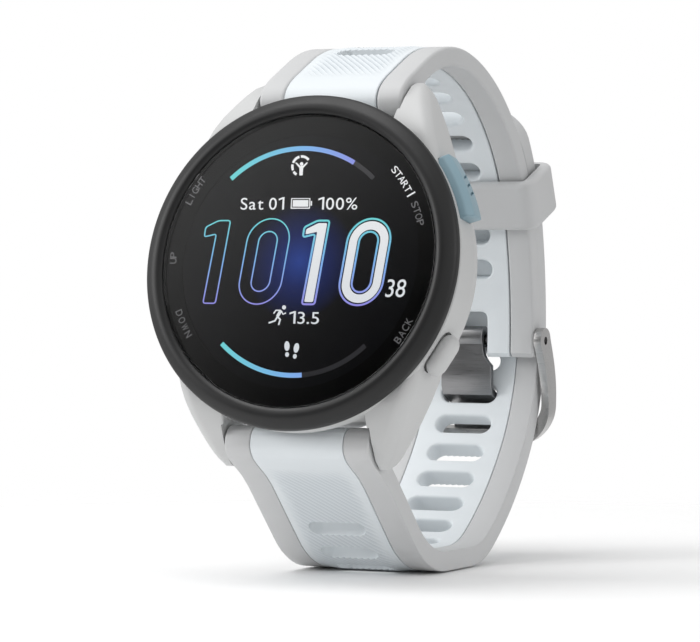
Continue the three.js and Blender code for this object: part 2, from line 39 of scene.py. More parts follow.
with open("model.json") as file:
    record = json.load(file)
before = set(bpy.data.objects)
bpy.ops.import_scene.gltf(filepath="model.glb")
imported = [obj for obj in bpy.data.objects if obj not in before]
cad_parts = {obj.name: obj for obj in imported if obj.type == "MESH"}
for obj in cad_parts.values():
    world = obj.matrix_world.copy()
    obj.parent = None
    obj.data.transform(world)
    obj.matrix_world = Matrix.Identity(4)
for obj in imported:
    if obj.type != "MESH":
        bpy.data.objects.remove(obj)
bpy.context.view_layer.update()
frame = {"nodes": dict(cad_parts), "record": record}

MM = 0.001
TAU = 2 * math.pi
LENS_TOP = 1.08
MOUNTS = {mount["name"]: mount for mount in frame["record"]["mounts"]}
DIAL_OUT = Vector(MOUNTS["screen_face"]["axis"]).normalized()
DIAL_CENTRE = Vector(MOUNTS["screen_face"]["pos_m"]) - DIAL_OUT * LENS_TOP * MM
LEAN = math.asin(DIAL_OUT.z)
HEAD_TURN = (math.pi / 2 - LEAN, 0.0, 0.0)
HEAD = Matrix.Translation(DIAL_CENTRE) @ Matrix.Rotation(HEAD_TURN[0], 4, "X") @ Matrix.Scale(MM, 4)

# Strap, in the flat: x along it from the spring bar, y across its thickness, z across its width.
STRAP_HALF_T = 1.3
CORE_X = 6.42                  # half width of the white core
RAIL_X = 6.5                   # where the grey rails start
EDGE_X = 10.0                  # where they end
LAYER = 2.9                    # from the upper half's middle to the tail's, where one lies on the other
SLOT_HALF = 4.0
SLOT_R = 1.3
SLOT_PITCH = 4.85
UPPER_SLOTS_END = 59.4         # the upper half's last slot
TAIL_SHIFT = 1.25              # sets the tail's slots off from those of the strap beneath
TAIL_SLOT_R = 1.1
RIB_PITCH = 0.87
BAR_ROOM = 0.95                # radius of the room for a spring bar
RIB_RISE = 0.76                # part of a rib's pitch that rises; the rest drops
RIB_START = 2.6                # how far from the spring bar the ribs start
RIB_FADE = (4.2, 5.8)          # across the core, where the ribs start to fade and where they end
BAR_Y = 22.0
BAR_Z = -6.0
BUCKLE_PIN_S = 69.3
KEEPER_S = 49.8
TANG_SLOT_S = 68.5
FAR_BAR = (55.6, -24.6)
BUCKLE_IN = 10.2
BUCKLE_OUT = 11.3
LEAD = 4.0                     # straight run of the bending curve before the spring bar


# ------------------------------------------------------------------ strap paths
def walk(start, stretches):
    """The ends of arcs and straights of (length, bend in degrees): y, z, heading, length so far."""
    ends = [(start[0], start[1], start[2], 0.0)]
    for length, bend in stretches:
        y, z, heading, s = ends[-1]
        turn = math.radians(bend)
        chord = length if turn == 0 else 2 * length / turn * math.sin(turn / 2)
        middle = heading + turn / 2
        ends.append((y + chord * math.cos(middle), z + chord * math.sin(middle), heading + turn,
                     s + length))
    return ends


def path_at(path, s):
    """The point and heading of a path at distance s, running straight on past both ends."""
    start, stretches = path
    ends = walk(start, stretches)
    if s < 0 or s >= ends[-1][3]:
        y, z, heading, done = ends[0] if s < 0 else ends[-1]
        return y + (s - done) * math.cos(heading), z + (s - done) * math.sin(heading), heading
    i = next(k for k in range(len(stretches)) if s < ends[k + 1][3])
    along = s - ends[i][3]
    part = (along, stretches[i][1] * along / stretches[i][0])
    return walk(ends[i][:3], [part])[1][:3]


def leaned(y, z):
    return y * math.sin(LEAN) - z * math.cos(LEAN), y * math.cos(LEAN) + z * math.sin(LEAN)


CREST = (22.1, -61.0)
SHOULDER = (32.8, -63.5)
BUCKLE_END = (16.1, -14.6)
UPPER = ((*leaned(BAR_Y, BAR_Z), math.radians(46)), [CREST, SHOULDER, BUCKLE_END])
TAIL_BESIDE = 12.1
TAIL_BEND = 35.5
BUCKLE_END_R = BUCKLE_END[0] / math.radians(-BUCKLE_END[1])
SHOULDER_R = SHOULDER[0] / math.radians(-SHOULDER[1])
LOWER = ((*leaned(-BAR_Y, BAR_Z), math.radians(-44)), [
    (17.78, 0.0), (10.75, 44.0), (8.12, 0.0), (6.3, 30.0), (17.4, 21.4), (18.6, 39.13),
    (TAIL_BESIDE * (BUCKLE_END_R + LAYER) / BUCKLE_END_R, math.degrees(TAIL_BESIDE / BUCKLE_END_R)),
    (math.radians(TAIL_BEND) * (SHOULDER_R + LAYER), TAIL_BEND)])
UPPER_END = BUCKLE_PIN_S + 2.3
TAIL_END = sum(length for length, bend in LOWER[1])

# A drawing's x, y and z taken to Y, Z and X. The bent strap goes to the row frame like that.
CYCLED = Matrix(((0, 0, 1, 0), (1, 0, 0, 0), (0, 1, 0, 0), (0, 0, 0, 1)))
STRAP = Matrix.Translation(DIAL_CENTRE) @ Matrix.Scale(MM, 4) @ CYCLED


def strap_place(path, s):
    """Places a piece drawn as x along, y to the left and z across, at distance s."""
    y, z, heading = path_at(path, s)
    return STRAP @ Matrix.Translation((y, z, 0)) @ Matrix.Rotation(heading, 4, "Z")


# ------------------------------------------------------------------ modelling
def activate(obj):
    if bpy.context.mode != "OBJECT":
        bpy.ops.object.mode_set(mode="OBJECT")
    bpy.ops.object.select_all(action="DESELECT")
    obj.select_set(True)
    bpy.context.view_layer.objects.active = obj
    return obj


@contextmanager
def editing(obj, mode="FACE", test=None):
    """Edit mode with all selected, or only the faces or edges that pass the test."""
    activate(obj)
    mesh = obj.data
    chosen = None
    if test:
        items = mesh.polygons if mode == "FACE" else mesh.edges
        chosen = [test(mesh, item) for item in items]
    bpy.context.tool_settings.mesh_select_mode = (False, mode == "EDGE", mode == "FACE")
    bpy.ops.object.mode_set(mode="EDIT")
    bpy.ops.mesh.select_all(action="DESELECT" if test else "SELECT")
    if test:
        bpy.ops.object.mode_set(mode="OBJECT")
        (mesh.polygons if mode == "FACE" else mesh.edges).foreach_set("select", chosen)
        bpy.ops.object.mode_set(mode="EDIT")
    yield
    bpy.ops.object.mode_set(mode="OBJECT")


def outwards(obj):
    with editing(obj):
        bpy.ops.mesh.remove_doubles(threshold=1e-4)
        bpy.ops.mesh.normals_make_consistent(inside=False)
    return obj


def outline_solid(name, points, low, high):
    """A solid with an outline in x and y, from z low to high."""
    bpy.ops.mesh.primitive_circle_add(vertices=len(points), radius=1, fill_type="NGON")
    obj = bpy.context.object
    obj.name = name
    for vertex, (x, y) in zip(obj.data.vertices, points):
        vertex.co = (x, y, low)
    with editing(obj):
        bpy.ops.mesh.extrude_region_move(TRANSFORM_OT_translate={"value": (0, 0, high - low)})
    return outwards(obj)


def turned(name, profile, steps=160):
    """A profile of (radius, z) spun round z."""
    bpy.ops.mesh.primitive_circle_add(vertices=len(profile), radius=1, fill_type="NOTHING")
    obj = bpy.context.object
    obj.name = name
    for vertex, (radius, z) in zip(obj.data.vertices, profile):
        vertex.co = (radius, 0, z)
    with editing(obj, "EDGE"):
        bpy.ops.mesh.spin(steps=steps, angle=TAU, center=(0, 0, 0), axis=(0, 0, 1))
        bpy.ops.mesh.select_all(action="SELECT")
        bpy.ops.mesh.remove_doubles(threshold=1e-4)
        bpy.ops.mesh.dissolve_degenerate(threshold=1e-4)
    return outwards(obj)


def cylinder(name, radius, low, high, matrix=Matrix(), sides=48):
    """A round bar along z from low to high, turned by a matrix."""
    bpy.ops.mesh.primitive_cylinder_add(vertices=sides, radius=radius, depth=high - low)
    obj = bpy.context.object
    obj.name = name
    obj.data.transform(matrix @ Matrix.Translation((0, 0, (low + high) / 2)))
    return obj


def block(name, low, high):
    bpy.ops.mesh.primitive_cube_add(size=1)
    obj = bpy.context.object
    obj.name = name
    low, high = Vector(low), Vector(high)
    size = high - low
    obj.data.transform(Matrix.Translation((low + high) / 2) @ Matrix.Diagonal((*size, 1)))
    return obj


def applied(obj, kind, **settings):
    activate(obj)
    modifier = obj.modifiers.new(kind.title(), kind)
    for key, value in settings.items():
        setattr(modifier, key, value)
    bpy.ops.object.modifier_apply(modifier=modifier.name)
    return obj


def combine(obj, other, operation):
    applied(obj, "BOOLEAN", operation=operation, solver="EXACT", object=other)
    bpy.data.objects.remove(other)
    return obj


def rounded(obj, width, segments=3, angle=28):
    return applied(obj, "BEVEL", width=width, segments=segments, limit_method="ANGLE",
                   angle_limit=math.radians(angle), use_clamp_overlap=True, harden_normals=False)


def bisect(obj, point, normal, test=None):
    with editing(obj, "FACE", test):
        bpy.ops.mesh.bisect(plane_co=point, plane_no=normal)


def settle(obj, name, matrix, material, body, slot, *nodes, smooth=32):
    """Puts a modelled piece in place, gives it its finish, hangs it on its body and hides the imported
    pieces it stands for.
    """
    obj.name = name
    obj.data.transform(matrix)
    obj.data.materials.clear()
    obj.data.materials.append(material)
    activate(obj)
    bpy.ops.object.shade_smooth_by_angle(angle=math.radians(smooth))
    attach(obj, body)
    if nodes:
        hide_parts(*nodes)
    return obj


def turn_z(degrees):
    return Matrix.Rotation(math.radians(degrees), 4, "Z")


def move(x, y):
    return Matrix.Translation((x, y, 0))


def arc_points(cx, cy, radius, first, last, steps):
    return [(cx + radius * math.cos(first + (last - first) * k / steps),
             cy + radius * math.sin(first + (last - first) * k / steps)) for k in range(steps + 1)]


def stadium(half, radius, steps=12, grow=0.0):
    """A slot outline, long in x."""
    radius += grow
    reach = half + grow - radius
    return (arc_points(reach, 0, radius, -math.pi / 2, math.pi / 2, steps)
            + arc_points(-reach, 0, radius, math.pi / 2, 1.5 * math.pi, steps))


def filleted(points, radius, steps=4):
    """An outline with each corner rounded."""
    found = []
    for i, here in enumerate(points):
        corner = Vector(here)
        before, after = Vector(points[i - 1]), Vector(points[(i + 1) % len(points)])
        reach = min(radius, (before - corner).length / 2.2, (after - corner).length / 2.2)
        start = corner + (before - corner).normalized() * reach
        end = corner + (after - corner).normalized() * reach
        for k in range(steps + 1):
            t = k / steps
            found.append(tuple(start * (1 - t) ** 2 + corner * 2 * t * (1 - t) + end * t ** 2))
    return found


def curved(points, steps=5):
    """A smooth line through the points."""
    points = [Vector(p) for p in points]
    ends = [2 * points[0] - points[1], *points, 2 * points[-1] - points[-2]]
    found = []
    for a, b, c, d in zip(ends, ends[1:], ends[2:], ends[3:]):
        for k in range(steps):
            t = k / steps
            found.append(tuple(b + 0.5 * t * ((c - a) + t * ((2 * a - 5 * b + 4 * c - d)
                                                            + t * (3 * (b - c) + d - a)))))
    return found + [tuple(points[-1])]


def between(points, value):
    """Straight-line reading of a table of (place, size)."""
    for (a, first), (b, last) in zip(points, points[1:]):
        if value <= b:
            return first + (last - first) * (value - a) / (b - a)
    return points[-1][1]


def lofted(name, rings):
    """A closed solid through rings of points, each ring pulled out of the one before."""
    bpy.ops.mesh.primitive_circle_add(vertices=len(rings[0]), radius=1, fill_type="NGON")
    obj = bpy.context.object
    obj.name = name
    for vertex, place in zip(obj.data.vertices, rings[0]):
        vertex.co = place
    cap = 0
    for before, ring in zip(rings, rings[1:]):
        with editing(obj, "FACE", lambda mesh, face: face.index == cap):
            bpy.ops.mesh.extrude_region_move()
        face = next(f for f in obj.data.polygons if f.select)
        cap = face.index
        for index in face.vertices:
            here = obj.data.vertices[index].co
            near = min(range(len(ring)), key=lambda i: (Vector(before[i]) - here).length)
            obj.data.vertices[index].co = ring[near]
    return outwards(obj)


# ------------------------------------------------------------------ shader groups
def group_tree(name, inputs, outputs):
    tree = bpy.data.node_groups.new(name, "ShaderNodeTree")
    for label, kind, default in inputs:
        socket = tree.interface.new_socket(name=label, in_out="INPUT", socket_type=kind)
        socket.default_value = default
    for label, kind in outputs:
        tree.interface.new_socket(name=label, in_out="OUTPUT", socket_type=kind)
    return tree, tree.nodes.new("NodeGroupInput"), tree.nodes.new("NodeGroupOutput")


def moulded_grain():
    """Fine skin of a moulded surface: a height for the bump, a slow shade and a roughness change."""
    name = "Moulded grain"
    if name in bpy.data.node_groups:
        return bpy.data.node_groups[name]
    tree, start, end = group_tree(
        name,
        [("Grain Scale", "NodeSocketFloat", 9000.0), ("Cloud Scale", "NodeSocketFloat", 120.0),
         ("Roughness Low", "NodeSocketFloat", 0.4), ("Roughness High", "NodeSocketFloat", 0.5)],
        [("Height", "NodeSocketFloat"), ("Shade", "NodeSocketFloat"), ("Roughness", "NodeSocketFloat")])
    place = tree.nodes.new("ShaderNodeTexCoord")
    grain = tree.nodes.new("ShaderNodeTexNoise")
    grain.inputs["Detail"].default_value = 3.0
    cloud = tree.nodes.new("ShaderNodeTexNoise")
    cloud.inputs["Detail"].default_value = 4.0
    rough = tree.nodes.new("ShaderNodeMapRange")
    link = tree.links.new
    for texture, label in ((grain, "Grain Scale"), (cloud, "Cloud Scale")):
        link(place.outputs["Object"], texture.inputs["Vector"])
        link(start.outputs[label], texture.inputs["Scale"])
    link(cloud.outputs["Fac"], rough.inputs["Value"])
    rough.inputs["From Min"].default_value = 0.3
    rough.inputs["From Max"].default_value = 0.7
    link(start.outputs["Roughness Low"], rough.inputs["To Min"])
    link(start.outputs["Roughness High"], rough.inputs["To Max"])
    link(grain.outputs["Fac"], end.inputs["Height"])
    link(cloud.outputs["Fac"], end.inputs["Shade"])
    link(rough.outputs["Result"], end.inputs["Roughness"])
    return tree


def brushed_lines():
    """Fine lines across the watch, as a linished steel surface has them."""
    name = "Brushed lines"
    if name in bpy.data.node_groups:
        return bpy.data.node_groups[name]
    tree, start, end = group_tree(
        name,
        [("Roughness Low", "NodeSocketFloat", 0.22), ("Roughness High", "NodeSocketFloat", 0.38)],
        [("Height", "NodeSocketFloat"), ("Shade", "NodeSocketFloat"), ("Roughness", "NodeSocketFloat")])
    place = tree.nodes.new("ShaderNodeTexCoord")
    stretch = tree.nodes.new("ShaderNodeMapping")
    stretch.inputs["Scale"].default_value = (300.0, 14000.0, 14000.0)
    lines = tree.nodes.new("ShaderNodeTexNoise")
    lines.inputs["Scale"].default_value = 1.0
    lines.inputs["Detail"].default_value = 2.0
    rough = tree.nodes.new("ShaderNodeMapRange")
    link = tree.links.new
    link(place.outputs["Object"], stretch.inputs["Vector"])
    link(stretch.outputs["Vector"], lines.inputs["Vector"])
    link(lines.outputs["Fac"], rough.inputs["Value"])
    link(start.outputs["Roughness Low"], rough.inputs["To Min"])
    link(start.outputs["Roughness High"], rough.inputs["To Max"])
    link(lines.outputs["Fac"], end.inputs["Height"])
    link(lines.outputs["Fac"], end.inputs["Shade"])
    link(rough.outputs["Result"], end.inputs["Roughness"])
    return tree


def dial_position():
    """Millimetres on the dial: x to 3 o'clock, y to 12 o'clock, and the distance from its centre."""
    name = "Dial position"
    if name in bpy.data.node_groups:
        return bpy.data.node_groups[name]
    tree, _, end = group_tree(name, [], [
        ("Across", "NodeSocketFloat"), ("Up", "NodeSocketFloat"), ("Distance", "NodeSocketFloat")])
    place = tree.nodes.new("ShaderNodeTexCoord")
    turn = tree.nodes.new("ShaderNodeMapping")
    turn.vector_type = "TEXTURE"
    turn.inputs["Location"].default_value = DIAL_CENTRE
    turn.inputs["Rotation"].default_value = HEAD_TURN
    turn.inputs["Scale"].default_value = (MM, MM, MM)
    split = tree.nodes.new("ShaderNodeSeparateXYZ")
    length = tree.nodes.new("ShaderNodeVectorMath")
    length.operation = "LENGTH"
    link = tree.links.new
    link(place.outputs["Object"], turn.inputs["Vector"])
    link(turn.outputs["Vector"], split.inputs["Vector"])
    link(turn.outputs["Vector"], length.inputs[0])
    link(split.outputs["X"], end.inputs["Across"])
    link(split.outputs["Y"], end.inputs["Up"])
    link(length.outputs["Value"], end.inputs["Distance"])
    return tree


# ------------------------------------------------------------------ materials
def shader(name):
    material = bpy.data.materials.new(name)
    material.use_nodes = True
    nodes = material.node_tree.nodes
    return material, nodes, material.node_tree.links.new, nodes["Principled BSDF"]


def surfaced(name, tree, dark, light, bump, metallic=0.0, coat=0.0, **group_values):
    """A surface whose colour, roughness and relief come from one of the shared groups."""
    if name in bpy.data.materials:
        return bpy.data.materials[name]
    material, nodes, link, bsdf = shader(name)
    group = nodes.new("ShaderNodeGroup")
    group.node_tree = tree
    for label, value in group_values.items():
        group.inputs[label.replace("_", " ").title()].default_value = value
    blend = nodes.new("ShaderNodeMix")
    blend.data_type = "RGBA"
    blend.inputs["A"].default_value = (*dark, 1)
    blend.inputs["B"].default_value = (*light, 1)
    relief = nodes.new("ShaderNodeBump")
    relief.inputs["Strength"].default_value = 0.5
    relief.inputs["Distance"].default_value = bump * MM
    link(group.outputs["Shade"], blend.inputs["Factor"])
    link(blend.outputs["Result"], bsdf.inputs["Base Color"])
    link(group.outputs["Roughness"], bsdf.inputs["Roughness"])
    link(group.outputs["Height"], relief.inputs["Height"])
    link(relief.outputs["Normal"], bsdf.inputs["Normal"])
    bsdf.inputs["Metallic"].default_value = metallic
    bsdf.inputs["Coat Weight"].default_value = coat
    return material


def spread(colour, change=0.04):
    """A colour a little darker and a little lighter, for a slow change over a surface."""
    return tuple(c * (1 - change) for c in colour), tuple(min(1, c * (1 + change)) for c in colour)


def colours():
    return bpy.context.scene.watch_colours


def sizes():
    return bpy.context.scene.watch_sizes


def moulded(name, colour, low, high, bump=0.006, change=0.04, coat=0.0):
    dark, light = spread(colour, change)
    return surfaced(name, moulded_grain(), dark, light, bump, coat=coat,
                    roughness_low=low, roughness_high=high)


def case_polymer():
    return moulded("Case polymer", colours().case, 0.42, 0.52)


def grey_silicone():
    return moulded("Grey silicone", colours().rails, 0.5, 0.6, 0.004)


def white_silicone():
    """White, with painted shade darkening it down in the grooves between the strap's ribs."""
    name = "White silicone"
    if name in bpy.data.materials:
        return bpy.data.materials[name]
    material = moulded(name, colours().core, 0.48, 0.58, 0.004, 0.02)
    tree = material.node_tree
    base = tree.nodes["Principled BSDF"].inputs["Base Color"]
    # Painted shade: the white is multiplied by a grey where the groove mark is high, darkest at the bottom
    # of each groove.
    painted_groove_shade = tree.nodes.new("ShaderNodeAttribute")
    painted_groove_shade.attribute_name = "painted_groove_shade"
    shade = tree.nodes.new("ShaderNodeMix")
    shade.data_type = "RGBA"
    shade.blend_type = "MULTIPLY"
    shade.inputs["B"].default_value = (0.74, 0.76, 0.78, 1)
    tree.links.new(painted_groove_shade.outputs["Fac"], shade.inputs["Factor"])
    tree.links.new(base.links[0].from_socket, shade.inputs["A"])
    tree.links.new(shade.outputs["Result"], base)
    return material


def black_polymer():
    return moulded("Black polymer", colours().bezel, 0.42, 0.5, 0.003, 0.0)


def blue_polymer():
    return moulded("Blue polymer", colours().start, 0.36, 0.46, 0.004)


def black_rubber():
    return moulded("Black rubber", (0.03, 0.03, 0.03), 0.6, 0.75)


def smoked_window():
    return moulded("Smoked window", (0.012, 0.012, 0.015), 0.06, 0.1, 0.0005, 0.2, coat=0.6)


def mask_print():
    material = moulded("Mask print", (0.002, 0.002, 0.002), 0.5, 0.6, 0.0002)
    material.node_tree.nodes["Principled BSDF"].inputs["Specular IOR Level"].default_value = 0.05
    return material


def board_green():
    return moulded("Solder mask", (0.03, 0.11, 0.06), 0.3, 0.45, 0.01, 0.25)


# Dark steel; on the buckle's rod it also stands as painted shade down in the buckle's holes.
def dark_steel_and_hole_shade():
    return surfaced("Dark satin steel", brushed_lines(), (0.2, 0.2, 0.205), (0.34, 0.34, 0.345), 0.003, 1.0)


def satin_steel():
    return surfaced("Satin steel", brushed_lines(), (0.44, 0.435, 0.43), (0.58, 0.575, 0.57), 0.002, 1.0)


def plain_steel():
    return surfaced("Plain steel", brushed_lines(), (0.45, 0.45, 0.46), (0.6, 0.6, 0.61), 0.002, 1.0)


def gold_plate():
    return surfaced("Gold plate", brushed_lines(), (0.7, 0.5, 0.2), (0.85, 0.62, 0.28), 0.001, 1.0)


def metal_foil():
    return surfaced("Metal foil", brushed_lines(), (0.45, 0.46, 0.48), (0.62, 0.63, 0.65), 0.006, 0.8,
                    roughness_low=0.35, roughness_high=0.55)


def lens_glass():
    name = "Lens glass"
    if name in bpy.data.materials:
        return bpy.data.materials[name]
    material, nodes, link, bsdf = shader(name)
    smear = nodes.new("ShaderNodeTexNoise")
    smear.inputs["Scale"].default_value = 90.0
    place = nodes.new("ShaderNodeTexCoord")
    rough = nodes.new("ShaderNodeMapRange")
    rough.inputs["To Min"].default_value = 0.0
    rough.inputs["To Max"].default_value = 0.006
    link(place.outputs["Object"], smear.inputs["Vector"])
    link(smear.outputs["Fac"], rough.inputs["Value"])
    link(rough.outputs["Result"], bsdf.inputs["Roughness"])
    bsdf.inputs["Base Color"].default_value = (1, 1, 1, 1)
    bsdf.inputs["Transmission Weight"].default_value = 1.0
    bsdf.inputs["IOR"].default_value = 1.45
    return material


def lit(name, label, low, high, stops, strength):
    """A lit ink whose colour changes with a distance on the dial."""
    if name in bpy.data.materials:
        return bpy.data.materials[name]
    material, nodes, link, bsdf = shader(name)
    place = nodes.new("ShaderNodeGroup")
    place.node_tree = dial_position()
    along = nodes.new("ShaderNodeMapRange")
    along.inputs["From Min"].default_value = low
    along.inputs["From Max"].default_value = high
    ramp = nodes.new("ShaderNodeValToRGB")
    while len(ramp.color_ramp.elements) < len(stops):
        ramp.color_ramp.elements.new(0.5)
    for element, (position, colour) in zip(ramp.color_ramp.elements, stops):
        element.position = position
        element.color = (*colour, 1)
    link(place.outputs[label], along.inputs["Value"])
    link(along.outputs["Result"], ramp.inputs["Fac"])
    link(ramp.outputs["Color"], bsdf.inputs["Emission Color"])
    bsdf.inputs["Emission Strength"].default_value = strength
    bsdf.inputs["Base Color"].default_value = (0.004, 0.004, 0.005, 1)
    bsdf.inputs["Specular IOR Level"].default_value = 0.05
    bsdf.inputs["Roughness"].default_value = 0.4
    return material


CYAN = (0.16, 0.66, 0.68)
SKY = (0.22, 0.46, 0.85)
VIOLET = (0.3, 0.28, 0.78)


def digit_ink():
    return lit("Digit outline ink", "Up", -5.6, 5.4, [(0, VIOLET), (0.5, SKY), (1, CYAN)], 1.0)


def arc_ink():
    return lit("Arc ink", "Across", -10, 8, [(0, CYAN), (0.55, SKY), (1, VIOLET)], 1.0)


def white_ink():
    return lit("White ink", "Up", -12, 14, [(0, (0.72, 0.76, 0.8)), (1, (0.95, 0.96, 0.97))], 0.95)


def dim_ink():
    return lit("Unlit arc ink", "Up", -15, 15, [(0, (0.022, 0.022, 0.024)), (1, (0.05, 0.05, 0.053))], 1.0)


def label_ink():
    return lit("Label ink", "Up", -12, 12, [(0, (0.12, 0.12, 0.125)), (1, (0.17, 0.17, 0.175))], 1.0)


def panel_black():
    return lit("Display panel", "Distance", 0, 7.5, [
        (0, (0.016, 0.045, 0.24)), (0.45, (0.006, 0.014, 0.09)), (1, (0.0008, 0.0008, 0.001))], 1.0)


# ------------------------------------------------------------------ strap
OUTER_END = [(-2.15, 0), (-1.95, 0.95), (-1.2, 1.95), (0, 2.38), (1.2, 2.32), (2.8, 2.0), (4.8, 1.55),
             (7.2, STRAP_HALF_T)]
WRIST_END = [(-2.15, 0), (-1.85, -0.95), (-1.1, -1.75), (0, -2.05), (2, -1.85), (4.8, -STRAP_HALF_T)]


def strap_tip(end, cut):
    """The free end's outline, with both its edges cut off."""
    return [(end - cut, STRAP_HALF_T), (end, STRAP_HALF_T - cut), (end, cut - STRAP_HALF_T),
            (end - cut, -STRAP_HALF_T)]


def strap_blank(name, side, tip, low, high):
    """A flat strap strip with the thick end round its spring bar. side is 1 where +y is outside."""
    points = curved(OUTER_END) + tip + curved(WRIST_END)[::-1]
    return outline_solid(name, [(s, side * t) for s, t in points], low, high)


def rib_at(side, s, z, first, last):
    """How far up a slanting rib this place is, and how much of the rib is left near the core's
    edges and ends."""
    phase = ((s + side * z) / RIB_PITCH) % 1.0
    step = min(phase / RIB_RISE, (1 - phase) / (1 - RIB_RISE))
    inner, outer = RIB_FADE
    edge = min(1.0, max(0.0, (outer - abs(z)) / (outer - inner)))
    ends = min(1.0, max(0.0, (s - first) / 3.0)) * min(1.0, max(0.0, (last - s) / 2.0))
    return step, edge * ends


def add_ribs(obj, side, first, last):
    """Cuts the outer face along each rib, lifts the cuts and marks each corner's depth in a groove for
    painted shade.
    """
    def outer_face(mesh, face):
        return face.normal.y * side > 0.85 and face.center.y * side > 1

    for z in (RIB_FADE[0], RIB_FADE[1], -RIB_FADE[0], -RIB_FADE[1]):
        bisect(obj, (0, 0, z), (0, 0, 1), outer_face)
    for s in (first, first + 3, last - 2, last):
        bisect(obj, (s, 0, 0), (1, 0, 0), outer_face)
    lowest = math.floor((first - CORE_X) / RIB_PITCH)
    highest = math.ceil((last + CORE_X) / RIB_PITCH)
    for k in range(lowest, highest):
        for phase in (0.0, RIB_RISE):
            bisect(obj, ((k + phase) * RIB_PITCH, 0, 0), (1, 0, side), outer_face)
    mesh = obj.data
    # Painted shade: each outer corner gets how deep in a groove it lies, which darkens the white silicone
    # there.
    painted_groove_shade = mesh.attributes.new("painted_groove_shade", "FLOAT", "CORNER")
    corners = [k for face in mesh.polygons if outer_face(mesh, face) for k in face.loop_indices]
    for k in corners:
        place = mesh.vertices[mesh.loops[k].vertex_index].co
        step, left = rib_at(side, place.x, place.z, first, last)
        painted_groove_shade.data[k].value = (1 - step) * left
    for index in {mesh.loops[k].vertex_index for k in corners}:
        place = mesh.vertices[index].co
        step, left = rib_at(side, place.x, place.z, first, last)
        place.y += side * sizes().rib_height * step * left


def cut_bar_room(obj, side):
    """Room for the spring bar and, on the wrist side, for its release lever."""
    combine(obj, cylinder("bar_room", BAR_ROOM, -13, 13), "DIFFERENCE")
    near, far = sorted((0.0, -4.0 * side))
    combine(obj, block("lever_room", (-1, near, 5.1), (1, far, 8.5)), "DIFFERENCE")


def cut_slots(obj, places, radius=SLOT_R):
    for s in places:
        cutter = outline_solid("slot", stadium(SLOT_HALF, radius), -4, 4)
        cutter.data.transform(Matrix.Translation((s, 0, 0)) @ Matrix.Rotation(math.pi / 2, 4, "Y")
                              @ Matrix.Rotation(math.pi / 2, 4, "X"))
        combine(obj, cutter, "DIFFERENCE")


def soften_slots(obj, side, width):
    """Rounds the slots' rims on the wrist side."""
    wrist = -side * STRAP_HALF_T

    def rim(mesh, edge):
        ends = [mesh.vertices[i].co for i in edge.vertices]
        return all(abs(v.y - wrist) < 0.01 and abs(v.z) < SLOT_HALF + 0.1 for v in ends) and not any(
            abs(v.z) > CORE_X - 1 for v in ends)

    with editing(obj, "EDGE", rim):
        bpy.ops.mesh.bevel(offset=width, segments=4, affect="EDGES")


def bent(obj, path, end):
    """Bends a flat strap piece along its path."""
    for s in range(-1, int(end) + 1):
        bisect(obj, (s + 0.5, 0, 0), (1, 0, 0))
    points = int((end + 2 * LEAD) / 0.25)
    bpy.ops.curve.primitive_bezier_curve_add()
    line = bpy.context.object
    line.data.splines.clear()
    line.data.dimensions = "2D"
    spline = line.data.splines.new("POLY")
    spline.points.add(points)
    for k, point in enumerate(spline.points):
        y, z, _ = path_at(path, -LEAD + k * (end + 2 * LEAD) / points)
        point.co = (y, z, 0, 1)
    obj.data.transform(Matrix.Translation((LEAD, 0, 0)))
    applied(obj, "CURVE", object=line, deform_axis="POS_X")
    bpy.data.objects.remove(line)
    return obj


def slot_places(first, last):
    count = int((last - first) / SLOT_PITCH + 0.001)
    return [first + k * SLOT_PITCH for k in range(count + 1)]


def make_upper_strap():
    tip = strap_tip(UPPER_END, 0.5)
    core = strap_blank("core", 1, tip, -CORE_X, CORE_X)
    rounded(core, 0.12, 2, 50)
    cut_slots(core, slot_places(UPPER_SLOTS_END - 10 * SLOT_PITCH, UPPER_SLOTS_END + 0.1))
    soften_slots(core, 1, sizes().slot_rim)
    notch = outline_solid("notch", filleted([(BUCKLE_PIN_S - 3.9, -3.1), (80, -3.1), (80, 3.1),
                                             (BUCKLE_PIN_S - 3.9, 3.1)], 1.0), -4, 4)
    notch.data.transform(Matrix.Rotation(math.pi / 2, 4, "X"))
    combine(core, notch, "DIFFERENCE")

    def notch_rim(mesh, edge):
        ends = [mesh.vertices[i].co for i in edge.vertices]
        return all(abs(v.y + STRAP_HALF_T) < 0.01 and abs(v.z) < 3.2 and v.x > BUCKLE_PIN_S - 4
                   for v in ends)

    with editing(core, "EDGE", notch_rim):
        bpy.ops.mesh.bevel(offset=0.35, segments=3, affect="EDGES")
    add_ribs(core, 1, RIB_START, BUCKLE_PIN_S - 7)
    cut_bar_room(core, 1)
    bent(core, UPPER, UPPER_END)
    settle(core, "upper_core", STRAP, white_silicone(), "watch", "strap_white", "upper_strap_core",
           smooth=16)
    for word, low, high in (("right", RAIL_X, EDGE_X), ("left", -EDGE_X, -RAIL_X)):
        rail = strap_blank("rail", 1, tip, low, high)
        rounded(rail, sizes().strap_edge, 4, 50)
        cut_bar_room(rail, 1)
        bent(rail, UPPER, UPPER_END)
        settle(rail, f"upper_rail_{word}", STRAP, grey_silicone(), "watch", "strap_grey",
               f"upper_strap_rail_{word}")


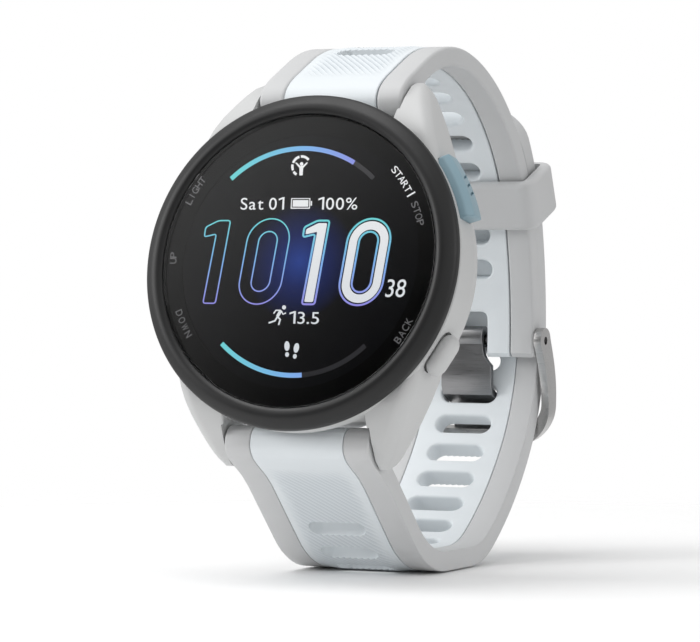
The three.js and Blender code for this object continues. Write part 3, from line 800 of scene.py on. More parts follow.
def make_lower_strap():
    core_end = TAIL_END - 6.3
    core = strap_blank("core", -1, [(core_end, STRAP_HALF_T), (core_end, -STRAP_HALF_T)],
                       -CORE_X, CORE_X)
    rounded(core, 0.12, 2, 50)
    cut_slots(core, slot_places(TANG_SLOT_S - 11 * SLOT_PITCH, TANG_SLOT_S + SLOT_PITCH + 0.1))
    cut_slots(core, slot_places(TANG_SLOT_S + 3 * SLOT_PITCH + TAIL_SHIFT, core_end - 2), TAIL_SLOT_R)
    soften_slots(core, -1, sizes().slot_rim)
    add_ribs(core, -1, RIB_START, TANG_SLOT_S - 4)
    cut_bar_room(core, -1)
    bent(core, LOWER, core_end)
    settle(core, "lower_core", STRAP, white_silicone(), "watch", "strap_white", "lower_strap_core",
           smooth=16)
    tip = strap_tip(TAIL_END, 0.4)
    rails = strap_blank("rails", -1, tip, -EDGE_X, EDGE_X)
    round_end = arc_points(TAIL_END - 7, 0, 7, -math.pi / 2, math.pi / 2, 24)
    wide = [(s, z * 9.8 / 7) for s, z in round_end]
    shape = outline_solid("shape", [(-4, -9.99), (40, -9.99), (70, -9.6), *wide, (70, 9.6),
                                    (40, 9.99), (-4, 9.99)], -4, 4)
    shape.data.transform(Matrix.Rotation(math.pi / 2, 4, "X"))
    combine(rails, shape, "INTERSECT")
    channel = block("channel", (-5, -4, -RAIL_X), (core_end + 0.08, 4, RAIL_X))
    combine(rails, channel, "DIFFERENCE")
    rounded(rails, sizes().strap_edge, 4, 50)
    cut_bar_room(rails, -1)
    bent(rails, LOWER, TAIL_END)
    settle(rails, "lower_rails", STRAP, grey_silicone(), "watch", "strap_grey", "lower_strap_rails")


# ------------------------------------------------------------------ keeper and buckle
def make_keeper():
    inside = (10.38, 3.36)
    outside = (11.8, 4.66)
    middle = LAYER / 2 + 0.03

    def frame_outline(x, y, corner):
        return filleted([(y, x), (-y, x), (-y, -x), (y, -x)], corner, 8)

    loop = outline_solid("keeper", frame_outline(outside[0], outside[1], 2.2), -3.4, 3.4)
    rounded(loop, 0.8, 5)
    hole = outline_solid("hole", frame_outline(inside[0], inside[1], 0.6), -5, 5)
    combine(loop, hole, "DIFFERENCE")
    turn = Matrix.Translation((0, middle, 0)) @ CYCLED
    settle(loop, "strap_keeper_loop", strap_place(UPPER, KEEPER_S) @ turn, grey_silicone(),
           "strap_keeper", "strap_grey", "keeper")


def yz_plate(name, points, thickness, low, high):
    """A plate of even thickness that follows points of (y, z), pulled across the strap."""
    left, right = [], []
    for i, point in enumerate(points):
        before, after = Vector(points[max(i - 1, 0)]), Vector(points[min(i + 1, len(points) - 1)])
        way = (after - before).normalized()
        side = Vector((-way.y, way.x)) * thickness / 2
        left.append(tuple(Vector(point) + side))
        right.append(tuple(Vector(point) - side))
    return outline_solid(name, left + right[::-1], low, high)


def make_buckle():
    pin_y, pin_z, _ = path_at(UPPER, BUCKLE_PIN_S)
    bar_y, bar_z = FAR_BAR
    long = math.hypot(bar_y - pin_y, bar_z - pin_z)
    lean = math.atan2(bar_z - pin_z, bar_y - pin_y)
    place = Matrix.Translation((pin_y, pin_z, 0)) @ Matrix.Rotation(lean, 4, "Z")
    bow = sizes().buckle_bow
    steps = 14

    def edge(part, half):
        return long * part, bow * math.sin(math.pi * part) + half * (1.75 - 0.6 * part)

    outline = (arc_points(0, 0, 1.75, math.pi / 2, 1.5 * math.pi, 16)[:-1]
               + [edge(k / steps, -1) for k in range(steps + 1)]
               + arc_points(long, 0, 1.15, -math.pi / 2, math.pi / 2, 10)[1:-1]
               + [edge(k / steps, 1) for k in range(steps, 0, -1)])
    arm = outline_solid("arm", outline, -BUCKLE_OUT, BUCKLE_OUT)
    far = long + 1.15
    outer, inner = 5.0, 3.6
    bend = (arc_points(far - outer, BUCKLE_OUT - outer, outer, math.pi / 2, 0, 14)
            + arc_points(far - outer, outer - BUCKLE_OUT, outer, 0, -math.pi / 2, 14))
    hollow = (arc_points(far - 2.3 - inner, inner - BUCKLE_IN, inner, -math.pi / 2, 0, 14)
              + arc_points(far - 2.3 - inner, BUCKLE_IN - inner, inner, 0, math.pi / 2, 14))
    band = outline_solid("band", [(-4, BUCKLE_OUT), *bend, (-4, -BUCKLE_OUT), (-4, -BUCKLE_IN), *hollow,
                                  (-4, BUCKLE_IN)], -6, 6)
    band.data.transform(Matrix(((1, 0, 0, 0), (0, 0, 1, 0), (0, 1, 0, 0), (0, 0, 0, 1))))
    combine(arm, outwards(band), "INTERSECT")
    rounded(arm, 0.22, 3, 40)
    arm.data.transform(place)
    hole = cylinder("hole", 0.55, -13, 13, Matrix.Translation((pin_y, pin_z, 0)))
    combine(arm, hole, "DIFFERENCE")
    rod = cylinder("rod", 0.5, -10.6, 10.6, Matrix.Translation((pin_y, pin_z, 0)))
    # Painted shade: the rod gets the dark steel rather than plain steel, so its ends read dark in the
    # buckle's holes.
    settle(rod, "buckle_rod", STRAP, dark_steel_and_hole_shade(), "watch", "pin_steel", "buckle_pin")
    settle(arm, "buckle_loop", STRAP, satin_steel(), "buckle", "buckle_steel", "buckle_frame")

    slot_y, slot_z, _ = path_at(LOWER, TANG_SLOT_S)
    inside_y = pin_y - 0.8
    outside_y = bar_y + 1.85
    route = [(inside_y, pin_z - 0.2), (inside_y, pin_z - 3.2), (inside_y, slot_z + 1.6),
             (inside_y + 0.35, slot_z + 0.75), (slot_y + 2.35, slot_z - 1.15),
             (outside_y - 0.1, slot_z - 2.6), (outside_y, bar_z - 0.7)]
    tang = yz_plate("tang", route, 1.0, -3.7, 3.7)
    for side in (1, -1):
        waist = outline_solid("waist", filleted([(2.45, pin_z - 2.2), (2.45, pin_z + 4), (9, pin_z + 4),
                                                 (9, pin_z - 4.4), (4.6, pin_z - 4.4)], 1.4, 6), 40, 53.6)
        place = Matrix(((0, 0, 1, 0), (0, 1, 0, 0), (side, 0, 0, 0), (0, 0, 0, 1)))
        waist.data.transform(place)
        outwards(waist)
        combine(tang, waist, "DIFFERENCE")
    rounded(tang, 0.14, 3, 40)
    curl = cylinder("curl", 1.5, -2.45, 2.45, Matrix.Translation((pin_y - 0.1, pin_z + 0.4, 0)))
    rounded(curl, 0.12, 3, 50)
    combine(tang, curl, "UNION")
    bore = cylinder("bore", 0.8, -8, 8, Matrix.Translation((pin_y, pin_z, 0)))
    combine(tang, bore, "DIFFERENCE")
    settle(tang, "buckle_tongue", STRAP, dark_steel_and_hole_shade(), "tang", "buckle_steel", "buckle_tang")


# ------------------------------------------------------------------ head
def make_bezel():
    face = curved([(18.85, 0.98), (19.0, 1.2), (19.5, 1.42), (20.2, 1.3), (21.05, 0.72), (21.4, 0.35),
                   (21.5, 0)], 4)
    ring = turned("bezel", [*face, (21.5, -0.5), (21.1, -0.9), (18.79, -0.9), (18.79, 0.9)], 220)
    settle(ring, "bezel", HEAD, black_polymer(), "watch", "bezel", "bezel_ring")


def make_lens():
    glass = turned("lens", [(0, 0.25), (18.72, 0.25), (18.76, 0.3), (18.76, 1.0), (18.68, LENS_TOP),
                            (0, LENS_TOP)], 200)
    settle(glass, "lens_disc", HEAD, lens_glass(), "watch", "lens_glass", "lens")
    mask = turned("mask", [(16.3, 0.02), (18.78, 0.02), (18.78, 0.12), (16.3, 0.12)], 160)
    settle(mask, "dial_mask", HEAD, mask_print(), "watch", "bezel")
    panel = turned("panel", [(0, -1.35), (16.45, -1.35), (16.45, -0.05), (0, -0.05)], 160)
    settle(panel, "dial_panel", HEAD, panel_black(), "watch", "display", "display_panel")


LUG_OUT = [(9, 17.6), (12.4, 17.35), (15.6, 16.3), (18.6, 15.1), (21.2, 13.9), (23.2, 12.8), (24.3, 11.9),
           (24.9, 11.3)]
LUG_TOP = [(9, -1.2), (15.8, -1.2), (17.4, -1.35), (19.4, -2.2), (22.2, -4.1), (24.2, -5.9), (24.9, -7.3)]
LUG_UNDER = [(9, -9.2), (20, -9.3), (23.2, -9.25), (24.3, -8.9), (24.9, -7.9)]
LUG_IN = 9.9


def rounded_box(x_low, x_high, z_low, z_high, inner, outer, steps=7):
    """A ring of (x, z) with small corners on the inner side and large ones on the outer side."""
    limit = 0.45 * min(x_high - x_low, z_high - z_low)
    small, large = min(inner, limit), min(outer, limit)
    quarter = math.pi / 2
    return (arc_points(x_high - large, z_high - large, large, quarter, 0, steps)
            + arc_points(x_high - large, z_low + large, large, 0, -quarter, steps)
            + arc_points(x_low + small, z_low + small, small, -quarter, -2 * quarter, steps)
            + arc_points(x_low + small, z_high - small, small, -2 * quarter, -3 * quarter, steps))


def cut_strap_room(obj, end):
    low, high = sorted((end * 19.4, end * 30))
    combine(obj, block("strap room", (-10.3, low, -12), (10.3, high, -2.9)), "DIFFERENCE")


def lug():
    rings = []
    for y in (9, 12, 14, 15.8, 16.6, 17.4, 18.4, 19.4, 20.4, 21.3, 22.2, 23, 23.6, 24.1, 24.5, 24.75, 24.9):
        ring = rounded_box(LUG_IN, between(LUG_OUT, y), between(LUG_UNDER, y), between(LUG_TOP, y),
                           0.25, sizes().lug_rounding)
        rings.append([(x, y, z) for x, z in ring])
    corner = lofted("lug", rings)
    combine(corner, cylinder("middle", 20.0, -12, 2, sides=64), "DIFFERENCE")
    cut_strap_room(corner, 1)
    bore = cylinder("bore", 0.8, 9, 12.2, Matrix.Translation((0, BAR_Y, BAR_Z))
                    @ Matrix.Rotation(math.pi / 2, 4, "Y"), 24)
    return combine(corner, bore, "DIFFERENCE")


BUTTON_Z = -3.6
BUTTON_HALF = 1.6              # half of a cap's width along the watch's depth
BUTTON_GAP = 0.06
START_HALF_ANGLE = math.radians(11.4)
# What each cap is: where it sits round the case, how far out it reaches, whether it is the curved
# bar of the start button, and how long it is otherwise.
BUTTONS = [
    {"name": "start", "angle": 28, "face": 22.9, "bar": True, "long": 0},
    {"name": "back", "angle": -30, "face": 23.1, "bar": False, "long": 5.6},
    {"name": "light", "angle": 150, "face": 22.2, "bar": False, "long": 6.2},
    {"name": "up", "angle": 180, "face": 22.2, "bar": False, "long": 6.2},
    {"name": "down", "angle": 210, "face": 22.2, "bar": False, "long": 6.2},
]


def cap_outline_solid(button, grow, inside, outside):
    """The solid of a button cap at angle 0, facing +x."""
    if button["bar"]:
        half = START_HALF_ANGLE + grow / outside
        outline = arc_points(0, 0, outside, -half, half, 24) + arc_points(0, 0, inside, half, -half, 24)
        return outline_solid("cap", outline, BUTTON_Z - BUTTON_HALF - grow, BUTTON_Z + BUTTON_HALF + grow)
    cap = outline_solid("cap", stadium(button["long"] / 2, BUTTON_HALF, 16, grow), inside, outside)
    cap.data.transform(Matrix.Translation((0, 0, BUTTON_Z)) @ CYCLED)
    return cap


def make_case():
    body = turned("case", [(16.8, -0.6), (18.75, -0.6), (18.75, -1.2), (21.15, -1.2), (21.3, -1.35),
                           (21.3, -5.4), (21.15, -6.2), (20.5, -8.5), (20.3, -8.9), (19.9, -9.2),
                           (19.1, -9.2), (19.1, -8), (18.6, -8), (18.6, -1.5), (16.8, -1.5)], 160)
    cut_strap_room(body, 1)
    cut_strap_room(body, -1)
    corner = lug()
    for x in (1, -1):
        for y in (1, -1):
            copy = corner.copy()
            copy.data = corner.data.copy()
            bpy.context.collection.objects.link(copy)
            copy.data.transform(Matrix.Diagonal((x, y, 1, 1)))
            combine(body, outwards(copy), "UNION")
    bpy.data.objects.remove(corner)
    for button in BUTTONS:
        room = cap_outline_solid(button, BUTTON_GAP, 20.2, 25)
        room.data.transform(turn_z(button["angle"]))
        combine(body, room, "DIFFERENCE")
    settle(body, "case", HEAD, case_polymer(), "watch", "case_polymer", "case_housing", smooth=24)


def cut_start_cap(cap, face):
    """Gives the start button its long front facet and a mark of three slanting strokes."""
    front = BUTTON_Z + BUTTON_HALF

    def front_edge(mesh, edge):
        ends = [mesh.vertices[i].co for i in edge.vertices]
        return all(abs(v.z - front) < 0.01 and math.hypot(v.x, v.y) > face - 0.1 for v in ends)

    with editing(cap, "EDGE", front_edge):
        bpy.ops.mesh.bevel(offset=0.75, segments=1, affect="EDGES")
    rounded(cap, 0.2, 3, 30)
    for k in (-1, 0, 1):
        stroke = block("stroke", (-2, -0.16, -0.75), (2, 0.16, 0.75))
        stroke.data.transform(turn_z(3.0 * k) @ Matrix.Translation((face + 1.75, 0, -4.1))
                              @ Matrix.Rotation(math.radians(28), 4, "X"))
        combine(cap, stroke, "DIFFERENCE")


def make_buttons():
    for button in BUTTONS:
        cap = cap_outline_solid(button, 0, 20.9, button["face"])
        if button["bar"]:
            cut_start_cap(cap, button["face"])
        else:
            rounded(cap, 1.1, 7, 40)
        stem = cylinder("stem", 0.8, 17.3, 21.3, Matrix.Translation((0, 0, BUTTON_Z))
                        @ Matrix.Rotation(math.pi / 2, 4, "Y"))
        combine(cap, stem, "UNION")
        finish = blue_polymer() if button["bar"] else case_polymer()
        slot = "blue_cap" if button["bar"] else "case_polymer"
        settle(cap, f"{button['name']}_cap", HEAD @ turn_z(button["angle"]), finish,
               f"{button['name']}_press", slot, f"{button['name']}_button")


def make_back():
    plate = turned("cover", [(6.9, -8.3), (18.8, -8.3), (18.8, -8.9), (18.65, -9.15), (18.4, -9.3),
                             (6.9, -9.3)], 160)
    combine(plate, block("port room", (-3.8, -15.2, -10), (3.8, -11.6, -8)), "DIFFERENCE")
    for angle in (45, 135, 225, 315):
        for radius, high in ((0.8, -8), (1.3, -8.7)):
            place = turn_z(angle) @ Matrix.Translation((16.4, 0, 0))
            combine(plate, cylinder("hole", radius, -10, high, place, 32), "DIFFERENCE")
    settle(plate, "rear_cover", HEAD, case_polymer(), "watch", "case_polymer", "back_cover")
    dome = turned("window", [(0, -8.45), (6.6, -8.45), (6.6, -9.4), (6.2, -9.62), (5.6, -9.82),
                             (4.4, -9.98), (2.6, -10.07), (0, -10.1)], 96)
    settle(dome, "sensor_dome", HEAD, smoked_window(), "watch", "sensor_glass", "sensor_window")


# ------------------------------------------------------------------ dial graphics
PRINT_Z = -0.03
DIAL_SLANT = -0.05
DIAL = HEAD @ Matrix(((1, DIAL_SLANT, 0, -0.3), (0, 1, 0, 0), (0, 0, 1, 0), (0, 0, 0, 1)))


def as_mesh(obj):
    activate(obj)
    bpy.ops.object.convert(target="MESH")
    return bpy.context.object


def flat_curve(name, outlines, cyclic=True, stroke=0.0, thick=0.02):
    """Closed outlines filled as one flat shape, or lines drawn with a stroke."""
    bpy.ops.curve.primitive_bezier_curve_add()
    obj = bpy.context.object
    obj.name = name
    curve = obj.data
    curve.splines.clear()
    curve.dimensions = "3D" if stroke else "2D"
    curve.fill_mode = "FULL" if stroke else "BOTH"
    curve.bevel_depth = stroke
    curve.bevel_resolution = 2
    curve.extrude = 0 if stroke else thick
    for outline in outlines:
        spline = curve.splines.new("POLY")
        spline.points.add(len(outline) - 1)
        for point, (x, y) in zip(spline.points, outline):
            point.co = (x, y, 0, 1)
        spline.use_cyclic_u = cyclic
    if stroke and not cyclic:
        curve.use_fill_caps = True
    return as_mesh(obj)


def band(name, radius, half, first, last, steps=60):
    """A flat arc from one angle to another, in degrees."""
    first, last = math.radians(first), math.radians(last)
    outline = (arc_points(0, 0, radius + half, first, last, steps)
               + arc_points(0, 0, radius - half, last, first, steps))
    return flat_curve(name, [outline])


def ink(obj, name, material, matrix=Matrix(), z=PRINT_Z):
    settle(obj, name, DIAL @ Matrix.Translation((0, 0, z)) @ matrix, material, "watch", "display")


FIGURE_ONE = [(0.3, 0), (0.44, 0), (0.44, 1), (0.32, 1), (0, 0.87), (0, 0.74), (0.3, 0.85)]


def glyph(letter, size):
    if letter == "1":
        return flat_curve("one", [[(x * size, y * size) for x, y in FIGURE_ONE]], thick=0.015)
    bpy.ops.object.text_add()
    obj = bpy.context.object
    obj.data.body = letter
    obj.data.size = size / 0.73
    obj.data.extrude = 0.015
    return as_mesh(obj)


def words(text, size, x, y, width=None, slant=0.0):
    """Flat letters set side by side, size being the height of the capitals, fitted to a width."""
    pieces, at = [], 0.0
    for letter in text:
        if letter == " ":
            at += 0.3 * size
            continue
        piece = glyph(letter, size)
        xs = [v.co.x for v in piece.data.vertices]
        piece.data.transform(move(at - min(xs), 0))
        at += max(xs) - min(xs) + 0.15 * size
        pieces.append(piece)
    mesh = joined(pieces)
    squeeze = width / (at - 0.15 * size) if width else 1.0
    shear = Matrix(((squeeze, slant, 0, 0), (0, 1, 0, 0), (0, 0, 1, 0), (0, 0, 0, 1)))
    mesh.data.transform(move(x, y) @ shear)
    return mesh


def joined(pieces):
    activate(pieces[0])
    for piece in pieces:
        piece.select_set(True)
    bpy.ops.object.join()
    return bpy.context.object


ITALIC = 0.139
ONE_FILL = [(0.3, 0.3), (1.5, 0.3), (2.9, 10.4), (1.72, 10.4), (0.06, 9.62), (-0.02, 8.95), (1.6, 9.3)]
ONE = [(0, 0), (1.76, 0), (3.25, 10.71), (1.6, 10.71), (-0.21, 9.86), (-0.35, 8.58), (1.34, 8.97)]


def nought(half_x, half_y):
    corners = [(-half_x, -half_y), (half_x, -half_y), (half_x, half_y), (-half_x, half_y)]
    found = []
    for i, (cx, cy) in enumerate(corners):
        middle = (cx - math.copysign(half_x, cx), cy - math.copysign(half_x, cy))
        found += arc_points(*middle, half_x, math.pi + i * math.pi / 2, 1.5 * math.pi + i * math.pi / 2, 12)
    return [(x + ITALIC * y, y) for x, y in found]


def make_digits():
    strokes, fills = [], []
    for k, (one_x, nought_x) in enumerate(((-12.9, -4.59), (0.97, 9.36))):
        shapes = [(filleted(ONE, 0.35), one_x, -5.5),
                  (nought(2.95, 5.5), nought_x, -0.05), (nought(1.3, 3.85), nought_x, -0.05)]
        for outline, x, y in shapes:
            moved = [(px + x, py + y) for px, py in outline]
            strokes.append(flat_curve("stroke", [moved], stroke=0.085 + 0.04 * k))
        if k:
            one = [(px + one_x, py - 5.5) for px, py in filleted(ONE_FILL, 0.2)]
            ring = [[(px + nought_x, py - 0.05) for px, py in nought(*size)]
                    for size in ((2.66, 5.2), (1.58, 4.14))]
            fills += [flat_curve("fill", [one]), flat_curve("fill", ring)]
    ink(joined(strokes), "digit_outlines", digit_ink(), z=PRINT_Z + 0.05)
    ink(joined(fills), "digit_fills", white_ink())


def make_arcs():
    for name, material, spans in (("lit_arcs", arc_ink(), ((133, 60.5), (227, 275.7))),
                                  ("unlit_arcs", dim_ink(), ((60.3, 47), (275.9, 313)))):
        ink(joined([band("arc", 14.55, 0.3, *span) for span in spans]), name, material)


def gauge_icon():
    parts = [band("gauge", 1.25, 0.16, *span, 12)
             for span in ((40, 96), (106, 160), (170, 205), (215, 240))]
    head = flat_curve("head", [arc_points(0.02, 0.28, 0.24, 0, TAU * 15 / 16, 15)])
    figure = flat_curve("figure", [filleted([
        (-0.2, -1.2), (0.24, -1.2), (0.26, -0.25), (0.9, 0.42), (0.74, 0.5), (0.2, 0.02), (-0.16, 0.02),
        (-0.72, 0.5), (-0.88, 0.42), (-0.24, -0.25)], 0.06)])
    return joined([*parts, head, figure])


def limb(points, stroke):
    return flat_curve("limb", [points], cyclic=False, stroke=stroke)


def runner_icon():
    head = flat_curve("head", [arc_points(0.85, 1.0, 0.27, 0, TAU * 15 / 16, 15)])
    body = limb([(0.45, 0.62), (0.0, -0.18)], 0.2)
    arms = [limb([(0.45, 0.6), (-0.25, 0.62), (-0.55, 0.2)], 0.09),
            limb([(0.5, 0.55), (0.75, 0.12), (1.15, 0.3)], 0.09)]
    legs = [limb([(0.0, -0.18), (-0.3, -0.72), (-1.15, -1.0)], 0.11),
            limb([(0.0, -0.2), (0.42, -0.55), (0.22, -1.25)], 0.11)]
    return joined([head, body, *arms, *legs])


def footprints_icon():
    parts = []
    for x, y, tilt in ((-0.62, 0.12, 4), (0.62, -0.1, -8)):
        sole = [(0.36 * math.cos(a), 0.36 + 0.62 * math.sin(a)) for a in
                (TAU * k / 20 for k in range(20))]
        heel = [(0.26 * math.cos(a), -0.72 + 0.3 * math.sin(a)) for a in
                (TAU * k / 16 for k in range(16))]
        for outline in (sole, heel):
            part = flat_curve("print", [outline])
            part.data.transform(move(x, y) @ turn_z(tilt))
            parts.append(part)
    return joined(parts)


def battery_icon():
    case = [(-1.4, -0.62), (1.15, -0.62), (1.15, 0.62), (-1.4, 0.62)]
    shell = limb([*case, case[0], case[1]], 0.08)
    cap = flat_curve("cap", [[(1.28, -0.3), (1.46, -0.3), (1.46, 0.3), (1.28, 0.3)]])
    charge = flat_curve("charge", [[(-1.2, -0.42), (0.95, -0.42), (0.95, 0.42), (-1.2, 0.42)]])
    return joined([shell, cap, charge])


def make_readings():
    for name, *reading in (("date", "Sat 01", 1.6, -8.36, 6.65, 6.1),
                           ("charge_reading", "100%", 1.6, 2.5, 6.65, 5.4),
                           ("distance_reading", "13.5", 1.6, -0.68, -7.98, 4.1),
                           ("seconds", "38", 2.35, 12.3, -4.45, 2.6, 0.14)):
        ink(words(*reading), name, white_ink())
    for icon, name, x, y in ((battery_icon, "battery_icon", 0.15, 7.44),
                             (gauge_icon, "gauge_icon", -0.14, 12.26),
                             (runner_icon, "runner_icon", -2.34, -6.92),
                             (footprints_icon, "footprints_icon", -0.15, -11.32)):
        ink(icon(), name, white_ink(), move(x, y))


LABEL_RADIUS = 17.45
# Each label: its word, its middle in degrees, its width, whether its letters' feet point out, and
# whether it is lit.
LABELS = [("LIGHT", 148.5, 4.1, False, False), ("UP", 179.0, 1.5, False, False),
          ("DOWN", 208.0, 4.1, True, False), ("START", 37.0, 3.9, False, True),
          ("STOP", 20.5, 3.3, False, False), ("BACK", -30.0, 3.6, True, False)]


def make_labels():
    """Button names that follow the rim, each letter turned with it."""
    for text, angle, width, inwards, bright in LABELS:
        letters = []
        pitch = math.degrees(width / len(text) / LABEL_RADIUS)
        for k, letter in enumerate(text):
            offset = (k - (len(text) - 1) / 2) * pitch
            place = math.radians(angle + (offset if inwards else -offset))
            piece = words(letter, 0.98, 0, -0.49, 0.12 if letter == "I" else 0.72)
            xs = [v.co.x for v in piece.data.vertices]
            piece.data.transform(move(-(min(xs) + max(xs)) / 2, 0))
            turn = place + (math.pi / 2 if inwards else -math.pi / 2)
            piece.data.transform(move(LABEL_RADIUS * math.cos(place), LABEL_RADIUS * math.sin(place))
                                 @ Matrix.Rotation(turn, 4, "Z"))
            letters.append(piece)
        ink(joined(letters), f"label_{text.lower()}", white_ink() if bright else label_ink(), z=0.15)
    divider = limb([(16.9, 0), (18.1, 0)], 0.1)
    ink(divider, "label_divider", white_ink(), turn_z(29.2), z=0.15)


# ------------------------------------------------------------------ carried-over pieces
CARRIED = {
    "gold_contact": gold_plate, "seal_rubber": black_rubber, "port_black": black_polymer,
    "circuit_board": board_green, "foil": metal_foil, "pin_steel": plain_steel, "screw_steel": dark_steel_and_hole_shade,
}


def finish_carried():
    """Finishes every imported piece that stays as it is."""
    slots = {part["node"]: part["material_slot"] for part in frame["record"]["subparts"]}
    for name, node in frame["nodes"].items():
        if node.hide_render or slots[name] not in CARRIED:
            continue
        node.data.materials.clear()
        node.data.materials.append(CARRIED[slots[name]]())


# ------------------------------------------------------------------ stage
VIEW_AZIMUTH = math.radians(25)
VIEW_RISE = math.radians(1.5)
VIEW_AWAY = 0.5
VIEW_SHIFT = (0.006228, -0.007431)   # how far the camera sits right of the dial's middle and above it
VIEW_LENS = 205.2


def aimed(location, target):
    way = Vector(target) - Vector(location)
    return way.to_track_quat("-Z", "Y").to_euler()


def area_light(name, location, size, watts, colour=(1, 1, 1)):
    bpy.ops.object.light_add(type="AREA", location=location, rotation=aimed(location, (0, 0, 0.03)))
    light = bpy.context.object
    light.name = name
    light.data.shape = "SQUARE"
    light.data.size = size
    light.data.energy = watts
    light.data.color = colour


def make_reflector():
    """A dark card in front of the dial, fading to a soft glow towards its upper left."""
    back = Vector((math.sin(VIEW_AZIMUTH), -math.cos(VIEW_AZIMUTH), math.sin(VIEW_RISE)))
    way = (2 * DIAL_OUT.dot(back) * DIAL_OUT - back).normalized()
    centre = DIAL_CENTRE + way * 0.6
    bpy.ops.mesh.primitive_plane_add(size=0.9, location=centre, rotation=aimed(centre, DIAL_CENTRE))
    card = bpy.context.object
    card.name = "reflector_card"
    card.visible_camera = False
    card.visible_diffuse = False
    card.visible_shadow = False
    material, nodes, link, bsdf = shader("Reflector card")
    place = nodes.new("ShaderNodeTexCoord")
    slant = nodes.new("ShaderNodeVectorMath")
    slant.operation = "DOT_PRODUCT"
    slant.inputs[1].default_value = (-0.8, 0.6, 0.0)
    fade = nodes.new("ShaderNodeMapRange")
    fade.interpolation_type = "SMOOTHSTEP"
    fade.inputs["From Min"].default_value = -0.03
    fade.inputs["From Max"].default_value = 0.09
    fade.inputs["To Max"].default_value = 0.9
    link(place.outputs["Object"], slant.inputs[0])
    link(slant.outputs["Value"], fade.inputs["Value"])
    link(fade.outputs["Result"], bsdf.inputs["Emission Color"])
    bsdf.inputs["Emission Strength"].default_value = 1.0
    bsdf.inputs["Base Color"].default_value = (0, 0, 0, 1)
    bsdf.inputs["Specular IOR Level"].default_value = 0.0
    card.data.materials.append(material)


def make_stage():
    bpy.ops.mesh.primitive_circle_add(vertices=96, radius=1.0, fill_type="NGON", location=(0, 0, -0.0002))
    floor = bpy.context.object
    floor.name = "floor"
    material, nodes, link, bsdf = shader("Pale floor")
    bsdf.inputs["Base Color"].default_value = (0.93, 0.93, 0.93, 1)
    bsdf.inputs["Roughness"].default_value = 0.6
    bsdf.inputs["Specular IOR Level"].default_value = 0.2
    away = nodes.new("ShaderNodeTexCoord")
    reach = nodes.new("ShaderNodeVectorMath")
    reach.operation = "LENGTH"
    fade = nodes.new("ShaderNodeMapRange")
    fade.interpolation_type = "SMOOTHSTEP"
    fade.inputs["From Min"].default_value = 0.05
    fade.inputs["From Max"].default_value = 0.16
    fade.inputs["To Min"].default_value = 1.0
    fade.inputs["To Max"].default_value = 0.0
    link(away.outputs["Object"], reach.inputs[0])
    link(reach.outputs["Value"], fade.inputs["Value"])
    link(fade.outputs["Result"], bsdf.inputs["Alpha"])
    floor.data.materials.append(material)
    make_reflector()

    world = bpy.data.worlds.new("Studio")
    bpy.context.scene.world = world
    world.use_nodes = True
    air = world.node_tree.nodes["Background"]
    air.inputs["Color"].default_value = (1, 1, 1, 1)
    seen = world.node_tree.nodes.new("ShaderNodeLightPath")
    level = world.node_tree.nodes.new("ShaderNodeMapRange")
    level.inputs["To Min"].default_value = 0.58
    level.inputs["To Max"].default_value = 1.0
    world.node_tree.links.new(seen.outputs["Is Camera Ray"], level.inputs["Value"])
    world.node_tree.links.new(level.outputs["Result"], air.inputs["Strength"])
    area_light("top_light", (-0.2, -0.15, 0.75), 0.6, 3.4)
    area_light("left_light", (-0.7, -0.4, 0.3), 0.3, 2.6)
    area_light("right_light", (0.75, -0.1, 0.3), 0.4, 0.9)

    flat = math.cos(VIEW_RISE)
    back = Vector((math.sin(VIEW_AZIMUTH) * flat, -math.cos(VIEW_AZIMUTH) * flat, math.sin(VIEW_RISE)))
    right = Vector((math.cos(VIEW_AZIMUTH), math.sin(VIEW_AZIMUTH), 0))
    up = right.cross(-back)
    place = DIAL_CENTRE + back * VIEW_AWAY + right * VIEW_SHIFT[0] + up * VIEW_SHIFT[1]
    bpy.ops.object.camera_add(location=place)
    camera = bpy.context.object
    turn = Matrix((right, up, back)).transposed()
    camera.rotation_euler = turn.to_euler()
    camera.data.lens = VIEW_LENS
    camera.data.sensor_width = 36
    camera.data.clip_start = 0.01
    bpy.context.scene.camera = camera
    bpy.context.scene.view_settings.view_transform = "Standard"


# ------------------------------------------------------------------ add-on
def colour_property(label, words_of_use, default):
    return bpy.props.FloatVectorProperty(name=label, description=words_of_use, default=default,
                                         subtype="COLOR", min=0, max=1)


def length_property(label, words_of_use, default, least, most):
    return bpy.props.FloatProperty(name=label, description=words_of_use + ", in millimetres",
                                   default=default, min=least, max=most)


class WatchColours(bpy.types.PropertyGroup):
    """Colours of the watch"""
    case: colour_property("Case", "Colour of the case, lugs and plain buttons", (0.54, 0.545, 0.545))
    rails: colour_property("Strap edges", "Colour of the strap's edges and keeper", (0.55, 0.555, 0.56))
    core: colour_property("Strap middle", "Colour of the strap's ribbed middle", (0.72, 0.76, 0.785))
    bezel: colour_property("Bezel", "Colour of the ring round the glass", (0.005, 0.005, 0.0054))
    start: colour_property("Start button", "Colour of the start button", (0.24, 0.36, 0.42))


class WatchSizes(bpy.types.PropertyGroup):
    """Small sizes of the watch's finish"""
    rib_height: length_property("Rib height", "Height of the strap's fine ribs", 0.17, 0, 0.3)
    slot_rim: length_property("Slot rim", "Rounding of the slots on the wrist side", 0.45, 0.05, 0.8)
    strap_edge: length_property("Strap edge", "Rounding of the strap's edges", 0.45, 0.05, 1)
    lug_rounding: length_property("Lug rounding", "Rounding of the lugs' outer corners", 1.6, 0.1, 2.5)
    buckle_bow: length_property("Buckle bow", "How far the buckle's sides bow outwards", 1.4, 0, 3)


class WATCH_OT_stage(bpy.types.Operator):
    """Makes the floor, lights and camera"""
    bl_idname = "watch.stage"
    bl_label = "Stage"

    def execute(self, context):
        make_stage()
        return {"FINISHED"}


class WATCH_OT_upper_strap(bpy.types.Operator):
    """Makes the strap half that carries the buckle"""
    bl_idname = "watch.upper_strap"
    bl_label = "Upper strap"

    def execute(self, context):
        make_upper_strap()
        return {"FINISHED"}


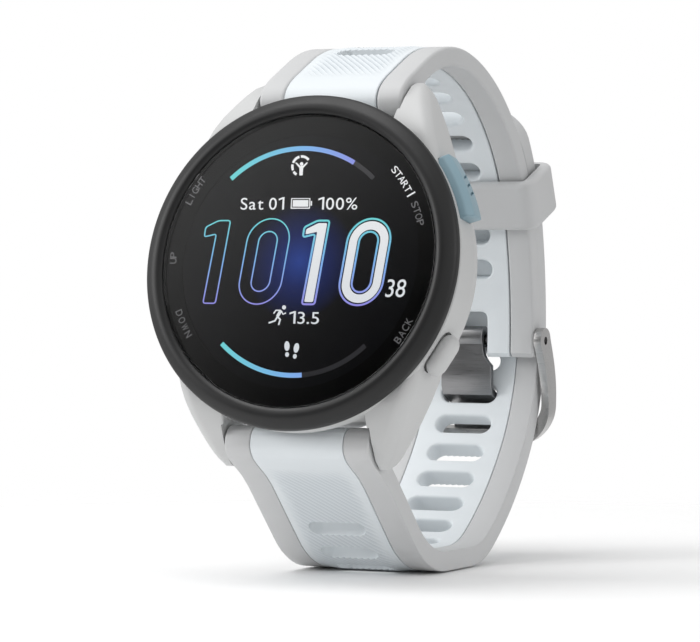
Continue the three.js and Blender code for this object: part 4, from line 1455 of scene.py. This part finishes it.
class WATCH_OT_lower_strap(bpy.types.Operator):
    """Makes the strap half with the free tail"""
    bl_idname = "watch.lower_strap"
    bl_label = "Lower strap"

    def execute(self, context):
        make_lower_strap()
        return {"FINISHED"}


class WATCH_OT_keeper(bpy.types.Operator):
    """Makes the loop that holds the tail"""
    bl_idname = "watch.keeper"
    bl_label = "Keeper"

    def execute(self, context):
        make_keeper()
        return {"FINISHED"}


class WATCH_OT_buckle(bpy.types.Operator):
    """Makes the buckle and its tang"""
    bl_idname = "watch.buckle"
    bl_label = "Buckle"

    def execute(self, context):
        make_buckle()
        return {"FINISHED"}


class WATCH_OT_case(bpy.types.Operator):
    """Makes the case with its lugs and button pockets"""
    bl_idname = "watch.case"
    bl_label = "Case"

    def execute(self, context):
        make_case()
        return {"FINISHED"}


class WATCH_OT_bezel(bpy.types.Operator):
    """Makes the ring round the glass"""
    bl_idname = "watch.bezel"
    bl_label = "Bezel"

    def execute(self, context):
        make_bezel()
        return {"FINISHED"}


class WATCH_OT_lens(bpy.types.Operator):
    """Makes the glass, its mask and the display"""
    bl_idname = "watch.lens"
    bl_label = "Lens and display"

    def execute(self, context):
        make_lens()
        return {"FINISHED"}


class WATCH_OT_buttons(bpy.types.Operator):
    """Makes the five button caps"""
    bl_idname = "watch.buttons"
    bl_label = "Buttons"

    def execute(self, context):
        make_buttons()
        return {"FINISHED"}


class WATCH_OT_back(bpy.types.Operator):
    """Makes the back cover and the sensor window"""
    bl_idname = "watch.back"
    bl_label = "Back"

    def execute(self, context):
        make_back()
        return {"FINISHED"}


class WATCH_OT_dial(bpy.types.Operator):
    """Makes the lit digits, arcs, readings and labels"""
    bl_idname = "watch.dial"
    bl_label = "Dial"

    def execute(self, context):
        make_digits()
        make_arcs()
        make_readings()
        make_labels()
        return {"FINISHED"}


class WATCH_OT_carried(bpy.types.Operator):
    """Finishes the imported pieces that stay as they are"""
    bl_idname = "watch.carried"
    bl_label = "Small parts"

    def execute(self, context):
        finish_carried()
        return {"FINISHED"}


OPERATORS = [WATCH_OT_stage, WATCH_OT_upper_strap, WATCH_OT_lower_strap, WATCH_OT_keeper, WATCH_OT_buckle,
             WATCH_OT_case, WATCH_OT_bezel, WATCH_OT_lens, WATCH_OT_buttons, WATCH_OT_back, WATCH_OT_dial,
             WATCH_OT_carried]


class WATCH_PT_panel(bpy.types.Panel):
    """Sizes, colours and making steps of the watch"""
    bl_label = "Running watch"
    bl_space_type = "VIEW_3D"
    bl_region_type = "UI"
    bl_category = "Watch"

    def draw(self, context):
        for group in (context.scene.watch_colours, context.scene.watch_sizes):
            for name in group.__annotations__:
                self.layout.prop(group, name)
        for step in OPERATORS:
            self.layout.operator(step.bl_idname)


CLASSES = [WatchColours, WatchSizes, *OPERATORS, WATCH_PT_panel]


def register():
    for cls in CLASSES:
        bpy.utils.register_class(cls)
    bpy.types.Scene.watch_colours = bpy.props.PointerProperty(type=WatchColours)
    bpy.types.Scene.watch_sizes = bpy.props.PointerProperty(type=WatchSizes)


def unregister():
    del bpy.types.Scene.watch_colours
    del bpy.types.Scene.watch_sizes
    for cls in reversed(CLASSES):
        bpy.utils.unregister_class(cls)


def main():
    register()
    for step in OPERATORS:
        getattr(bpy.ops.watch, step.bl_idname.split(".")[1])()


if __name__ == "__main__":
    main()
